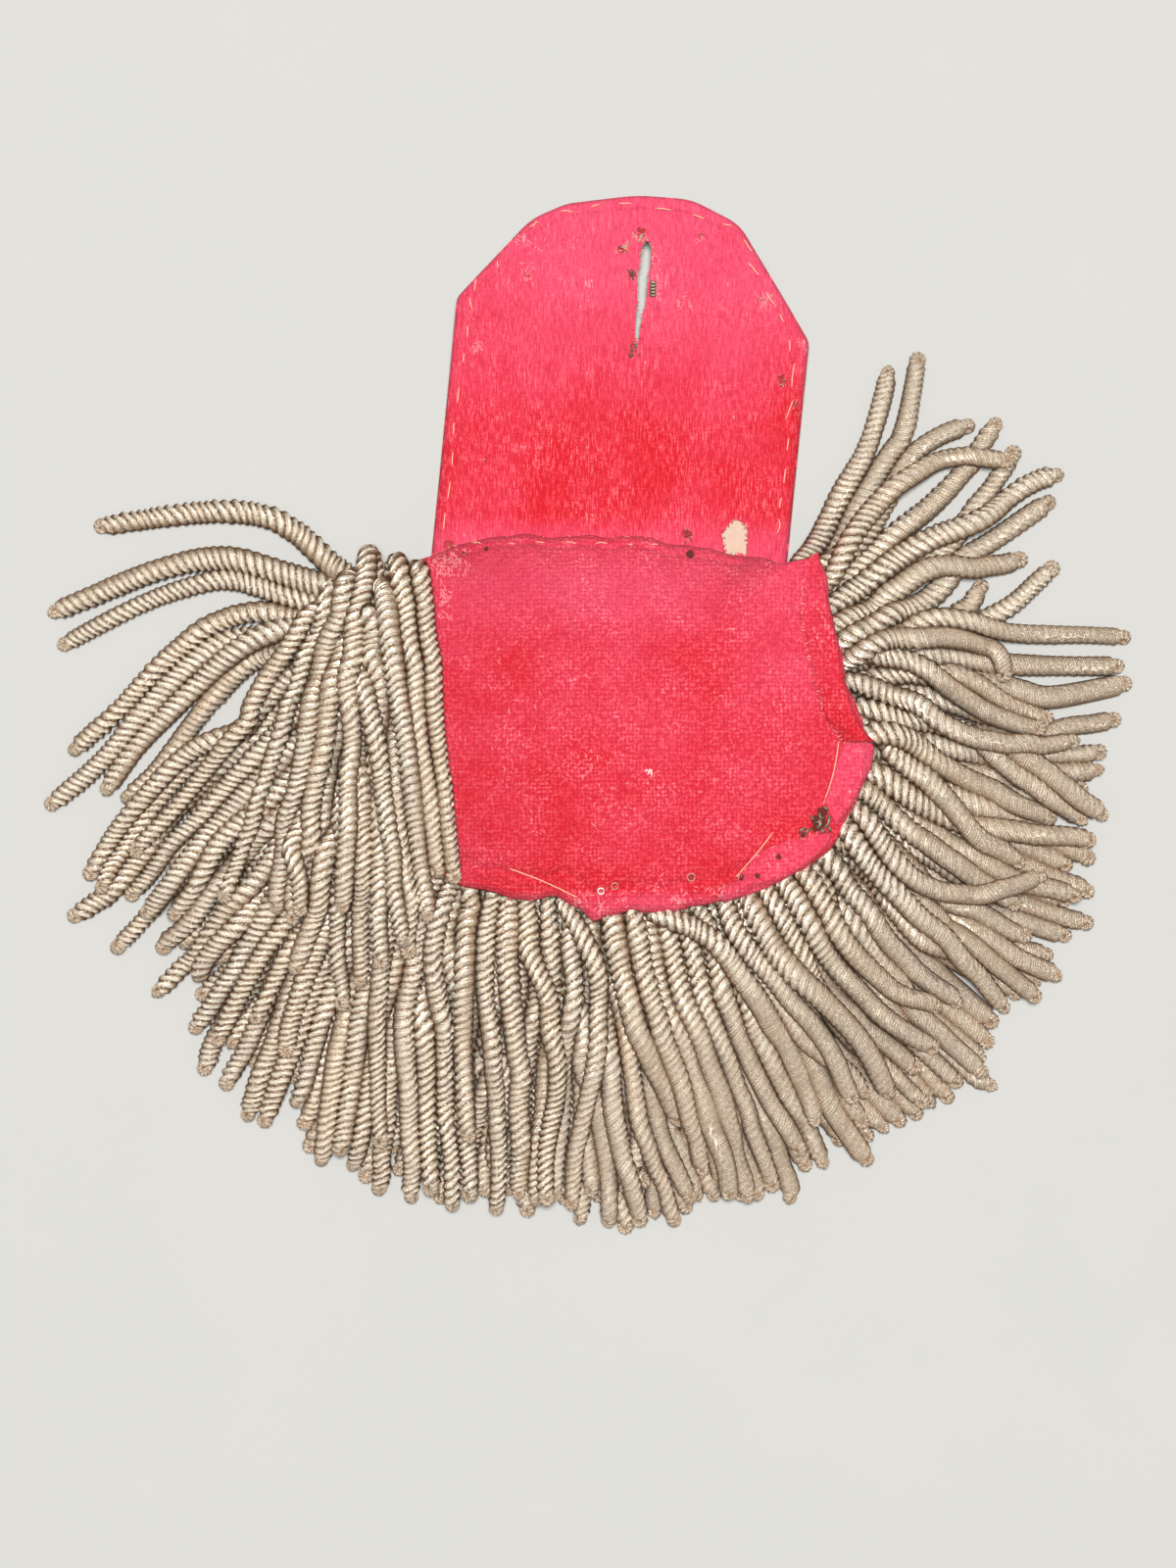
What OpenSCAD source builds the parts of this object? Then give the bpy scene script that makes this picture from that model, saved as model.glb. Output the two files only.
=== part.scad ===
// Fringed shoulder epaulette, lying face down with its red lining up.
// The strap points to +Y. The origin is on the surface, under the middle of the whole outline.

/* [Strap] */
// Width of the strap between its straight sides
strap_w = 65; // [60:0.5:68]
// Lean of the strap to the right of the Y axis, in degrees
strap_lean = 5.7; // [0:0.1:8]
// Distance from the strap's root to its tip
strap_l = 64.8; // [60:0.2:70]
// Height of the strap's tip above the surface
tip_rise = 5.5; // [0:0.5:8]

/* [Layers] */
// Thickness of the silver lace on the front
face_t = 1.2; // [0.8:0.1:2]
// Thickness of the card board
card_t = 1.4; // [1:0.1:2]
// Thickness of the red cloth on the strap
cloth_t = 1.0; // [0.8:0.1:1.6]
// Clearance between one layer and the next
layer_gap = 0.1; // [0.05:0.05:0.2]

/* [Crescent pad] */
// Scale of the crescent's outline
crescent_scale = 1; // [0.95:0.01:1.02]
// Height of the padded lining's crown
crown_z = 17; // [15:0.5:19]
// Thickness of the padded lining at its rim
rim_t = 1.4; // [1:0.1:2]
// How far the lining's rim stands out past the plug that fills the fringe's head
rim_overhang = 8; // [7:0.5:9]

/* [Fringe] */
// Height of each row's head band
band_h = 2.9; // [2.6:0.1:3]
// Locks in each row
locks_in_row = 30; // [24:1:32]
// Width of a lock at its root
lock_root_w = 3.6; // [3:0.1:4]
// Width of a lock at its tip
lock_tip_w = 5; // [4.4:0.1:5.2]
// Height of a lock at its tip
lock_tip_h = 4; // [3.4:0.1:4]
// Diameter of a single strand
strand_d = 4.2; // [4:0.1:4.6]

/* [Hidden] */

clear = 0.3;
root_at = [4.05, 30.4];
pad_at = [4.5, -2.5];
// Distance along Y at which the strap starts to curve up
bend_y = 46;
// Longer than the part in every direction, for cuts and for the curved layers
beyond = 120;
// How far the board and the face stay inside the crescent's edge
board_inset = 2;
// How far inside the crescent's edge the strands start, and where the head bands end
root_inset = 5;
band_inset = 2.5;
// Step between two points of the crescent's outline
angle_step = 6;
// Thickness of the loose hem
hem_t = 1.6;
card_z = face_t + layer_gap;
lining_z = card_z + card_t + layer_gap;
board_top = lining_z - layer_gap;
band_z = [for (row = [0:2]) board_top + 0.2 + row * (band_h + 0.2)];
rim_z = band_z[2] + band_h + clear;

// Outline of the strap's end: across from the middle line, along from the root, corner radius
STRAP_CORNERS = [
    [-strap_w / 2, -6, 0], [strap_w / 2, -2.4, 0], [strap_w / 2, 41.5, 3], [26.8, 49.3, 14],
    [17.6, strap_l - 3.4, 8], [8.4, strap_l + 0.2, 12], [-1.5, strap_l, 30], [-14.2, strap_l - 2.8, 10],
    [-20.4, strap_l - 6.2, 12], [-strap_w / 2, 43.2, 3]
];

// Outline of the crescent about its own middle: angle, distance
EDGE = [
    [-4, 46.5], [10, 43.2], [28, 45], [40, 49], [54, 39.5], [71, 35.8], [91, 35.1], [108, 37.2],
    [132, 44.3], [146, 50], [162, 46], [184, 43.2], [205, 43], [224, 40.5], [236, 36], [250, 33.4],
    [285, 34], [300, 36.5], [316, 40.5], [330, 44.8], [345, 46.5]
];

// How the fringe fans out: angle of the root, heading at the root, heading at the tip, length
FAN = [
    [148, 190, 236, 62], [165, 206, 242, 62], [180, 222, 248, 63], [195, 236, 254, 64], [210, 248, 260, 65],
    [225, 258, 266, 65], [240, 264, 269, 65], [262, 270, 276, 65], [280, 273, 283, 65], [295, 275, 290, 63],
    [312, 282, 304, 60], [328, 296, 320, 58], [342, 308, 332, 56], [356, 320, 346, 55], [368, 336, 360, 54],
    [380, 362, 368, 53]
];
fan_from = 155;
fan_to = 376;
band_from = 140;
band_to = 402;

// Each row of the fringe: first lock, share of a step that it is shifted, share of the length,
// height of the tips
ROWS = [[0, 0.1, 1.0, 2], [0, 0.6, 0.96, 6.2], [1, 0.1, 0.91, 10.3]];

// Stray strands past the fan's ends: row, angle of the root, four headings on the way, length
STRAYS = [
    [0, 144, 160, 122, 182, 194, 64], [0, 149.5, 170, 158, 202, 208, 66],
    [1, 145, 165, 150, 196, 208, 70], [1, 150.5, 190, 190, 228, 212, 68],
    [0, 382, 14, 0, 0, -2, 56], [0, 387, 45, 20, 30, 30, 60], [0, 392, 45, 50, 48, 50, 56],
    [0, 397, 84, 76, 72, 70, 50],
    [1, 380, -2, -8, 2, 8, 56], [1, 384.5, 14, 10, 36, 48, 54], [1, 389, 36, 22, 28, 44, 60],
    [1, 393.5, 60, 62, 28, -2, 58], [1, 398, 60, 62, 74, 80, 54],
    [2, 382, 30, 8, -4, -3, 58], [2, 387, 48, 44, 4, -2, 52], [2, 392, 74, 68, 40, 20, 50]
];

// Strands of the inner row swept down over the lining's left edge: angle of the root,
// top x and y, tip x and y, height at the top, height of the tip
SWEPT = [
    [143, -31, 26, -24.3, -30.4, 18, 17.2], [147, -35.4, 23, -28.8, -31, 17.8, 16.8],
    [151, -39.6, 18, -33.4, -37, 17.5, 16.2], [155.4, -44.4, 14, -46, -42, 15.4, 13.8]
];

function blend(a, b, t) = a + (b - a) * t;
function ease(t) = let (u = min(1, max(0, t))) u * u * (3 - 2 * u);
function unit(v) = v / norm(v);
function turned(a) = a < EDGE[0][0] ? a + 360 : a >= EDGE[0][0] + 360 ? a - 360 : a;
function edge(a) = crescent_scale * lookup(turned(a), concat(EDGE, [[EDGE[0][0] + 360, EDGE[0][1]]]));
function soft_edge(a) = (edge(a - 5) + 2 * edge(a) + edge(a + 5)) / 4;
function column(table, c) = [for (row = table) [row[0], row[c]]];
function at_angle(a, r) = pad_at + r * [cos(a), sin(a)];
function crescent(inset) = [for (a = [0:angle_step:359]) at_angle(a, soft_edge(a) - inset)];
function ramp_up(a) = let (t = a > 270 ? a - 360 : a) min(ease((t - 42) / 12), ease((140 - t) / 12));

// The corners of an outline rounded to their own radii
function arc_at(a, b, c, r, n = 6) =
    let (u = unit(a - b), v = unit(c - b), half = acos(u * v) / 2, m = b + unit(u + v) * r / sin(half),
         from = b + u * r / tan(half) - m, side = sign(cross(u, v)), turn = 180 - 2 * half)
    [for (i = [0:n]) let (t = side * -turn * i / n)
        m + [from[0] * cos(t) - from[1] * sin(t), from[0] * sin(t) + from[1] * cos(t)]];
function rounded(corners) = let (n = len(corners)) [for (i = [0:n - 1])
    let (p = [for (k = [n - 1, 0, 1]) let (q = corners[(i + k) % n]) [q[0], q[1]]])
    each corners[i][2] > 0 ? arc_at(p[0], p[1], p[2], corners[i][2]) : [p[1]]];

// A closed solid through rings of points, all with the same number of points
module loft(rings) {
    n = len(rings[0]);
    last = len(rings) - 1;
    sides = [for (k = [0:last - 1], i = [0:n - 1]) let (j = (i + 1) % n)
        each [[k * n + i, (k + 1) * n + i, k * n + j], [k * n + j, (k + 1) * n + i, (k + 1) * n + j]]];
    polyhedron([for (ring = rings) each ring],
               concat(sides, [[for (i = [0:n - 1]) i], [for (i = [n - 1:-1:0]) last * n + i]]));
}

// One strand or lock along a path, with its width and height at each point
module strand(path, widths, heights, sides = 6) {
    last = len(path) - 1;
    loft([for (k = [0:last])
        let (way = unit(path[min(k + 1, last)] - path[max(k - 1, 0)]),
             side = unit(cross([0, 0, 1], way)), up = cross(way, side))
        [for (i = [0:sides - 1]) let (a = 360 * i / sides)
            path[k] + side * cos(a) * widths[k] / 2 + up * sin(a) * heights[k] / 2 / sin(60)]]);
}

function walk(from, headings, step, k = 0) = k >= len(headings) ? [from]
    : concat([from], walk(from + step * [cos(headings[k]), sin(headings[k])], headings, step, k + 1));
function lifted(path, z_root, z_tip) = let (last = len(path) - 1) [for (k = [0:last])
    [path[k][0], path[k][1], blend(z_root, z_tip, ease(1.15 * k / last))]];

// Widths along a lock, from its root to its rounded tip
function widths(root, tip, count) = [for (k = [0:count - 1])
    k == count - 1 ? tip * 0.7 : blend(root, tip, ease(1.4 * k / (count - 1)))];

module strap_outline(inset = 0) {
    translate(root_at) rotate(-strap_lean)
        polygon([for (p = rounded(STRAP_CORNERS))
            [p[0] * (1 - 2 * inset / strap_w), p[1] - max(0, p[1]) * inset / strap_l]]);
}

module board_outline(inset) {
    strap_outline(inset);
    polygon(crescent(board_inset + inset));
}

// A layer of the strap, flat at first and curved up towards the tip
module curved_layer(z, thickness) {
    run = root_at[1] + strap_l - bend_y;
    radius = (run * run + tip_rise * tip_rise) / (2 * tip_rise);
    sweep = 1.05 * asin(run / radius);
    function arc(r) = [for (i = [0:8]) let (a = sweep * i / 8) [bend_y + r * sin(a), radius - r * cos(a)]];
    intersection() {
        linear_extrude(beyond) children();
        rotate([90, 0, 90]) translate([0, 0, -beyond]) linear_extrude(2 * beyond)
            polygon(concat([[-beyond, z + thickness], [-beyond, z]], arc(radius - z),
                           [for (i = [8:-1:0]) arc(radius - z - thickness)[i]]));
    }
}

// Button slit through the strap: along Y, middle across, half width
SLIT = [[86.8, 10.8, 0.3], [85, 10.6, 1], [80, 10.2, 1.1], [73, 9.4, 0.6], [66.4, 8.7, 0.25]];
module slit() {
    last = len(SLIT) - 1;
    translate([0, 0, -1]) linear_extrude(beyond)
        polygon(concat([for (s = SLIT) [s[1] - s[2], s[0]]],
                       [for (i = [last:-1:0]) [SLIT[i][1] + SLIT[i][2], SLIT[i][0]]]));
}

// Moth holes and nicks of the strap's lining: across, along, radius
HOLES = [
    [9.9, 88.4, 0.6], [6.3, 85.3, 0.7], [22.5, 86.6, 0.6], [-10.8, 80.6, 0.5], [36, 61.4, 0.8],
    [39.4, 56.9, 1.1], [-18.9, 47, 0.7], [18, 33.5, 0.8], [-25.4, 31.2, 0.9]
];

// Rim of the tear that bares the card: angle, distance
tear_at = [26.8, 33.4];
TEAR = [[0, 2.1], [45, 2.6], [85, 2.7], [130, 2.9], [180, 2.4], [225, 2.2], [270, 2.6], [315, 2.6]];

module lace_face() {
    color("silver") difference() {
        curved_layer(0, face_t) board_outline(0);
        slit();
    }
}

module stiffener() {
    color("wheat") difference() {
        curved_layer(card_z, card_t) board_outline(0.6);
        slit();
    }
}

module strap_lining() {
    color("crimson") difference() {
        curved_layer(lining_z, cloth_t) strap_outline(0);
        slit();
        for (h = HOLES) translate([h[0], h[1], 0]) cylinder(h = beyond, r = h[2], $fn = 24);
        translate([tear_at[0], tear_at[1], 0]) linear_extrude(beyond)
            polygon([for (t = TEAR) t[1] * [cos(t[0]), sin(t[0])]]);
    }
}

// Underside of the lining's rim, low over the strap and high over the fringe's head
function under_z(a) = blend(rim_z, lining_z + cloth_t + clear, ramp_up(a));

// Course of the loose hem along the right side: x, y, z, width
HEM = [
    [39.6, 27.4, 12.6, 4.5], [41.6, 20, 13.6, 7], [43.2, 12, 13.8, 7.4], [45.6, 4, 13.9, 7],
    [48, -1.4, 14.4, 6], [50.6, -4.8, 16, 4.4]
];

module crescent_pad() {
    angles = [0:angle_step:359];
    crown = at_angle(0, 0);
    plug = crescent(rim_overhang);
    rim = crescent(0);
    function ring(points, z) = [for (i = [0:len(points) - 1]) [points[i][0], points[i][1], z]];
    function top_ring(t) = [for (a = angles) let (p = blend(crown, at_angle(a, soft_edge(a)), t))
        [p[0], p[1], blend(crown_z, under_z(a) + rim_t, t * t)]];
    color("crimson") union() {
        loft(concat(
            [ring(plug, board_top + 0.2),
             [for (a = angles) let (p = at_angle(a, soft_edge(a) - rim_overhang)) [p[0], p[1], under_z(a)]],
             [for (a = angles) let (p = at_angle(a, soft_edge(a))) [p[0], p[1], under_z(a)]]],
            [for (t = [1, 0.94, 0.82, 0.62, 0.4, 0.16]) top_ring(t)]));
        strand([for (h = HEM) [h[0], h[1], h[2]]], [for (h = HEM) h[3]], [for (h = HEM) hem_t]);
    }
}

// The band that heads one row, along the crescent's edge
module head_band(row) {
    function section(a) = [for (c = [[0, 0], [0, 1], [1, 1], [1, 0]])
        let (p = at_angle(a, soft_edge(a) - blend(rim_overhang - clear, band_inset, c[0])))
        [p[0], p[1], band_z[row] + c[1] * band_h]];
    loft([for (a = [band_from:angle_step:band_to]) section(a)]);
}

function root(a) = at_angle(a, edge(a) - root_inset);
function root_z(row) = band_z[row] + band_h / 2;

module locks(row) {
    steps = 5;
    for (i = [ROWS[row][0]:locks_in_row - 1]) {
        a = blend(fan_from, fan_to, (i + ROWS[row][1]) / locks_in_row);
        from_h = lookup(a, column(FAN, 1));
        to_h = lookup(a, column(FAN, 2));
        path = walk(root(a), [for (k = [0:steps - 1]) blend(from_h, to_h, (k + 0.5) / steps)],
                    lookup(a, column(FAN, 3)) * ROWS[row][2] / steps);
        strand(lifted(path, root_z(row), ROWS[row][3]),
               widths(lock_root_w, lock_tip_w, steps + 1), widths(band_h - 0.4, lock_tip_h, steps + 1));
    }
}

module strays(row) {
    steps = 7;
    for (s = STRAYS) if (s[0] == row) {
        turns = [[0, s[2]], [0.3, s[3]], [0.65, s[4]], [1, s[5]]];
        path = walk(root(s[1]), [for (k = [0:steps - 1]) lookup((k + 0.5) / steps, turns)], s[6] / steps);
        strand(lifted(path, root_z(row), ROWS[row][3] + 0.1),
               widths(band_h - 0.3, strand_d, steps + 1), widths(band_h - 0.4, strand_d, steps + 1));
    }
}

module swept(s) {
    row = 2;
    // How far past the crescent's edge the strand comes out and turns up
    out = [2.4, 3.6];
    top = [s[1], s[2]];
    tip = [s[3], s[4]];
    path = concat([concat(root(s[0]), root_z(row)),
                   concat(at_angle(s[0], edge(s[0]) + out[0]), root_z(row)),
                   concat(at_angle(s[0], edge(s[0]) + out[1]), s[5] - out[0])],
                  [for (t = [0, 0.12, 0.35, 0.6, 0.82, 1])
                      concat(blend(top, tip, t), blend(s[5], s[6], ease(t)))]);
    sizes = concat([for (k = [0:2]) band_h - 0.2], [for (k = [0:4]) strand_d * 0.94], [strand_d * 0.8]);
    strand(path, sizes, sizes);
}

// One row of the fringe, its locks and strays fused to the band that heads them
module fringe_row(row) {
    head_band(row);
    locks(row);
    strays(row);
}

module fringe_outer_row() {
    color("darkkhaki") fringe_row(0);
}

module fringe_middle_row() {
    color("tan") fringe_row(1);
}

module fringe_inner_row() {
    color("silver") {
        fringe_row(2);
        for (s = SWEPT) swept(s);
    }
}

lace_face();
stiffener();
strap_lining();
crescent_pad();
fringe_outer_row();
fringe_middle_row();
fringe_inner_row();
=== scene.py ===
# Fringed shoulder epaulette lying face down: its red lining, silver bullion strands and worn details
import math
import bpy
import numpy as np
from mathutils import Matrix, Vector, kdtree
from mathutils.geometry import delaunay_2d_cdt


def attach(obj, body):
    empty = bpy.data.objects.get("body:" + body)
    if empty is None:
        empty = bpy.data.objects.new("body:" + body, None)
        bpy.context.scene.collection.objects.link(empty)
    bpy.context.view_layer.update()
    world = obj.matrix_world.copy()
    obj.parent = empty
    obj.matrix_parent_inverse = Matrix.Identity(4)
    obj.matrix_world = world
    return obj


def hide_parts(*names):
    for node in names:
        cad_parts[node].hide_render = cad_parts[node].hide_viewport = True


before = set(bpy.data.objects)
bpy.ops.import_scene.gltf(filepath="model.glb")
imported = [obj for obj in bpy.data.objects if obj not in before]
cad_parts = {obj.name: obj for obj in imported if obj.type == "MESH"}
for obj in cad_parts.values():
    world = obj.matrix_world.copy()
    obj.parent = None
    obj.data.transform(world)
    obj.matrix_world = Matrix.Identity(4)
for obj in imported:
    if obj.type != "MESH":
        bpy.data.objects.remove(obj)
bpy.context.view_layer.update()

# Lengths are in millimetres until a mesh is made, and places are in the frame of the part
MM = 0.001
PHOTO_PX = 0.18
PHOTO_MIDDLE = (600, 731)

# Middle of the crescent, height of its crown, thickness of its rim, heights of the board, of the three
# bands that head the strands, of the rim over them and of the strap's lining, thickness of the cloth
PAD_AT = np.array([4.5, -2.5])
CROWN_Z = 17.0
RIM_T = 1.4
BOARD_TOP = 2.7
BAND_H = 2.9
BAND_Z = [BOARD_TOP + 0.2 + row * (BAND_H + 0.2) for row in range(3)]
RIM_Z = BAND_Z[2] + BAND_H + 0.3
LINING_Z = 2.8
CLOTH_T = 1.0

# Outline of the crescent about its own middle: angle, distance
EDGE = [(-4, 46.5), (10, 43.2), (28, 45), (40, 49), (54, 39.5), (71, 35.8), (91, 35.1), (108, 37.2),
        (132, 44.3), (146, 50), (162, 46), (184, 43.2), (205, 43), (224, 40.5), (236, 36), (250, 33.4),
        (285, 34), (300, 36.5), (316, 40.5), (330, 44.8), (345, 46.5), (356, 46.5)]


def place(px, py):
    return np.array([(px - PHOTO_MIDDLE[0]) * PHOTO_PX, (PHOTO_MIDDLE[1] - py) * PHOTO_PX])


def places(pixels):
    return np.array([place(*p) for p in pixels])


def ease(t):
    u = np.clip(t, 0.0, 1.0)
    return u * u * (3 - 2 * u)


def unit(v):
    return v / (np.linalg.norm(v, axis=-1, keepdims=True) + 1e-12)


def ray(a):
    """Direction in plan at an angle in degrees."""
    t = np.radians(a)
    return np.stack([np.cos(t), np.sin(t)], -1)


def edge(a):
    angles, radii = zip(*EDGE, (EDGE[0][0] + 360, EDGE[0][1]))
    return np.interp((np.asarray(a, float) + 4) % 360 - 4, angles, radii)


def soft_edge(a, reach=5):
    a = np.asarray(a, float)
    return (edge(a - reach) + 2 * edge(a) + edge(a + reach)) / 4


def under_z(a):
    """Height of the lining's lower side at its rim, which is low where the strap leaves it."""
    t = np.asarray(a, float) % 360
    t = np.where(t > 270, t - 360, t)
    low = np.minimum(ease((t - 42) / 12), ease((140 - t) / 12))
    return RIM_Z + (LINING_Z + CLOTH_T + 0.3 - RIM_Z) * low


def polar(xy):
    d = np.asarray(xy, float) - PAD_AT
    return np.degrees(np.arctan2(d[..., 1], d[..., 0])) % 360, np.hypot(d[..., 0], d[..., 1])


def pad_top(xy):
    """Height of the pad as the strands feel it, without its folds."""
    a, r = polar(xy)
    t = np.clip(r / soft_edge(a), 0, 1)
    return CROWN_Z + (under_z(a) + RIM_T - CROWN_Z) * t * t


# STRANDS
# Seed of the random draws, and points along a strand while it settles
SEED = 11
NODES = 28
# Radius of a strand at shares of its length
GIRTH = [(0.0, 1.35), (0.18, 2.12), (0.45, 2.05), (1.0, 1.66)]

# How the fringe fans out: angle of the root, heading at the root, heading at the tip, length
FAN = np.array([
    (148, 190, 236, 62), (165, 206, 242, 62), (180, 222, 248, 63), (195, 236, 254, 64), (210, 248, 260, 65),
    (225, 258, 266, 65), (240, 264, 269, 65), (262, 270, 276, 65), (280, 273, 283, 65), (295, 275, 290, 63),
    (312, 282, 304, 60), (328, 296, 320, 58), (342, 308, 332, 56), (356, 320, 346, 55), (368, 336, 360, 54),
    (380, 362, 368, 53)])
# Part of the rim that the lower layers spread over, in degrees
FAN_FROM, FAN_TO = 160, 366
# Lower layers: group, strands, row, shift along the rim, share of the full length, height
FAN_LAYERS = [("outer", 22, 0, 0.10, 0.97, 2.2), ("outer", 21, 0, 0.60, 0.95, 3.6),
              ("middle", 21, 1, 0.35, 0.93, 5.2)]

# Strands followed in the photograph: level in the pile, then px across and down from the rim to the tip
LEFT_STRANDS = [
    (5, 360,606, 335,573, 298,535, 270,523, 236,521, 194,523, 152,530, 97,538),
    (3, 352,618, 309,603, 287,595, 264,581, 242,570, 214,567, 152,584, 96,609, 50,627),
    (1, 345,630, 298,615, 278,595, 259,584, 231,588, 158,609, 119,629, 60,661),
    (1, 345,640, 310,630, 273,622, 231,625, 195,657, 151,702, 105,740, 72,769),
    (3, 348,642, 301,637, 248,654, 197,693, 152,741, 116,794, 106,811),
    (1, 345,655, 290,650, 240,652, 208,662, 161,710, 116,769, 68,811, 48,824),
    (5, 358,612, 323,629, 284,682, 242,741, 197,808, 169,839, 135,873),
    (3, 345,660, 315,655, 278,657, 231,693, 191,747, 152,803, 127,819),
    (3, 350,670, 300,690, 260,722, 197,763, 144,816, 124,853, 88,898),
    (1, 345,680, 290,715, 235,765, 190,810, 150,860, 120,910, 72,937),
    (2, 345,670, 290,700, 230,750, 180,795, 140,840, 118,885, 103,915),
    (2, 350,700, 300,750, 250,795, 200,840, 155,885, 127,917),
    (2, 352,715, 310,765, 262,815, 215,860, 175,905, 147,937),
    (3, 355,720, 325,765, 285,800, 240,836, 211,878, 181,943),
    (1, 358,740, 315,795, 270,850, 225,900, 190,945, 164,974),
    (1, 362,760, 320,825, 275,885, 230,940, 190,985, 155,1018),
    (0, 350,720, 290,790, 230,855, 170,915, 116,971),
    (1, 368,790, 330,855, 285,920, 240,985, 195,1055),
    (2, 370,800, 335,860, 295,925, 255,1000, 220,1066),
    (0, 372,810, 335,875, 290,950, 245,1030, 206,1097),
    (1, 375,820, 340,890, 300,960, 262,1040, 228,1112),
    (1, 380,835, 350,905, 315,980, 280,1065, 251,1145),
    (2, 385,845, 355,915, 325,990, 292,1075, 268,1150),
    (2, 390,855, 365,920, 342,990, 320,1065, 304,1133),
    (3, 350,870, 322,925, 293,976, 276,1013, 261,1044),
    (3, 365,870, 335,930, 304,1018, 293,1077),
    (4, 345,840, 335,890, 318,945, 301,993),
    (5, 345,700, 325,740, 312,808, 310,864, 312,937),
    (4, 350,720, 336,760, 329,808, 329,864, 321,915),
    (4, 365,790, 352,859, 346,920, 346,976, 355,1032),
    (1, 400,870, 385,930, 365,1010, 345,1100, 324,1190),
    (3, 405,885, 395,950, 380,1030, 362,1110, 346,1177),
    (2, 410,880, 400,940, 388,1020, 375,1110, 363,1198),
    (1, 425,895, 418,970, 405,1060, 395,1150, 386,1220),
    (3, 412,888, 400,930, 391,976, 385,1060, 391,1170),
    (2, 425,890, 422,960, 418,1050, 418,1130, 421,1229),
    (1, 440,900, 438,980, 435,1060, 437,1150, 441,1220),
]
RIGHT_STRANDS = [
    (3, 838,557, 860,510, 886,457, 903,399, 907,374),
    (1, 862,560, 879,522, 914,469, 923,443, 931,399, 937,361),
    (3, 865,560, 900,500, 923,469, 946,451, 973,437, 992,434),
    (2, 868,592, 902,551, 946,522, 984,481, 1008,443, 1019,428),
    (5, 846,592, 858,563, 902,504, 929,481, 955,467, 984,465, 1033,473),
    (3, 858,613, 908,578, 958,548, 984,542, 1037,501, 1060,484, 1084,484),
    (4, 880,650, 940,622, 965,600, 978,569, 1002,560, 1055,522, 1075,509),
    (6, 864,651, 911,607, 931,586, 952,574, 978,578, 1002,584, 1047,569),
    (1, 872,620, 920,590, 980,545, 1008,504, 1022,481, 1037,457),
    (1, 880,660, 940,650, 1025,627, 1046,607, 1063,586, 1078,576),
    (0, 880,670, 930,660, 970,640, 993,616, 1002,592),
    (3, 870,645, 937,639, 981,642, 1011,648, 1128,648, 1153,651),
    (6, 867,669, 887,657, 914,651, 973,645, 996,648, 1014,660, 1025,677, 1022,696),
    (3, 870,668, 952,671, 1034,679, 1084,680, 1146,680),
    (1, 880,675, 967,686, 1011,701, 1049,717, 1099,708, 1153,696),
    (0, 880,690, 950,710, 1020,735, 1084,745, 1143,733),
    (3, 880,662, 923,671, 952,689, 1011,730, 1040,742, 1066,748),
    (6, 861,689, 893,704, 923,724, 981,751, 1011,762, 1069,762, 1102,754),
    (1, 885,725, 950,760, 1020,778, 1080,778, 1127,768),
    (2, 900,676, 984,692, 1019,710, 1049,730, 1069,745),
    (3, 870,730, 893,746, 936,786, 991,850, 1042,889),
    (4, 890,740, 942,771, 979,792, 1016,810, 1074,844),
    (2, 900,735, 960,745, 1016,768, 1065,810, 1111,841),
    (1, 920,740, 990,755, 1050,774, 1105,820, 1129,838),
    (1, 890,790, 940,815, 985,835, 1059,853, 1118,858),
    (0, 900,780, 980,825, 1040,850, 1074,862, 1114,881),
    (6, 862,820, 872,841, 900,875, 927,898, 952,911, 979,915, 1010,910, 1065,893),
    (4, 872,790, 912,835, 942,862, 973,881, 1040,925),
    (4, 857,820, 881,869, 912,908, 952,951, 979,966, 1031,1034),
    (1, 880,800, 940,850, 1000,880, 1050,900, 1102,916),
    (0, 880,815, 940,870, 1010,905, 1089,930, 1114,944),
    (1, 860,845, 920,905, 985,950, 1040,980, 1082,1000),
    (2, 865,830, 920,890, 960,920, 1019,945, 1050,957),
    (2, 855,850, 905,905, 960,950, 1005,975, 1062,1018),
    (1, 845,870, 890,935, 940,985, 985,1020, 1016,1046),
]
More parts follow.
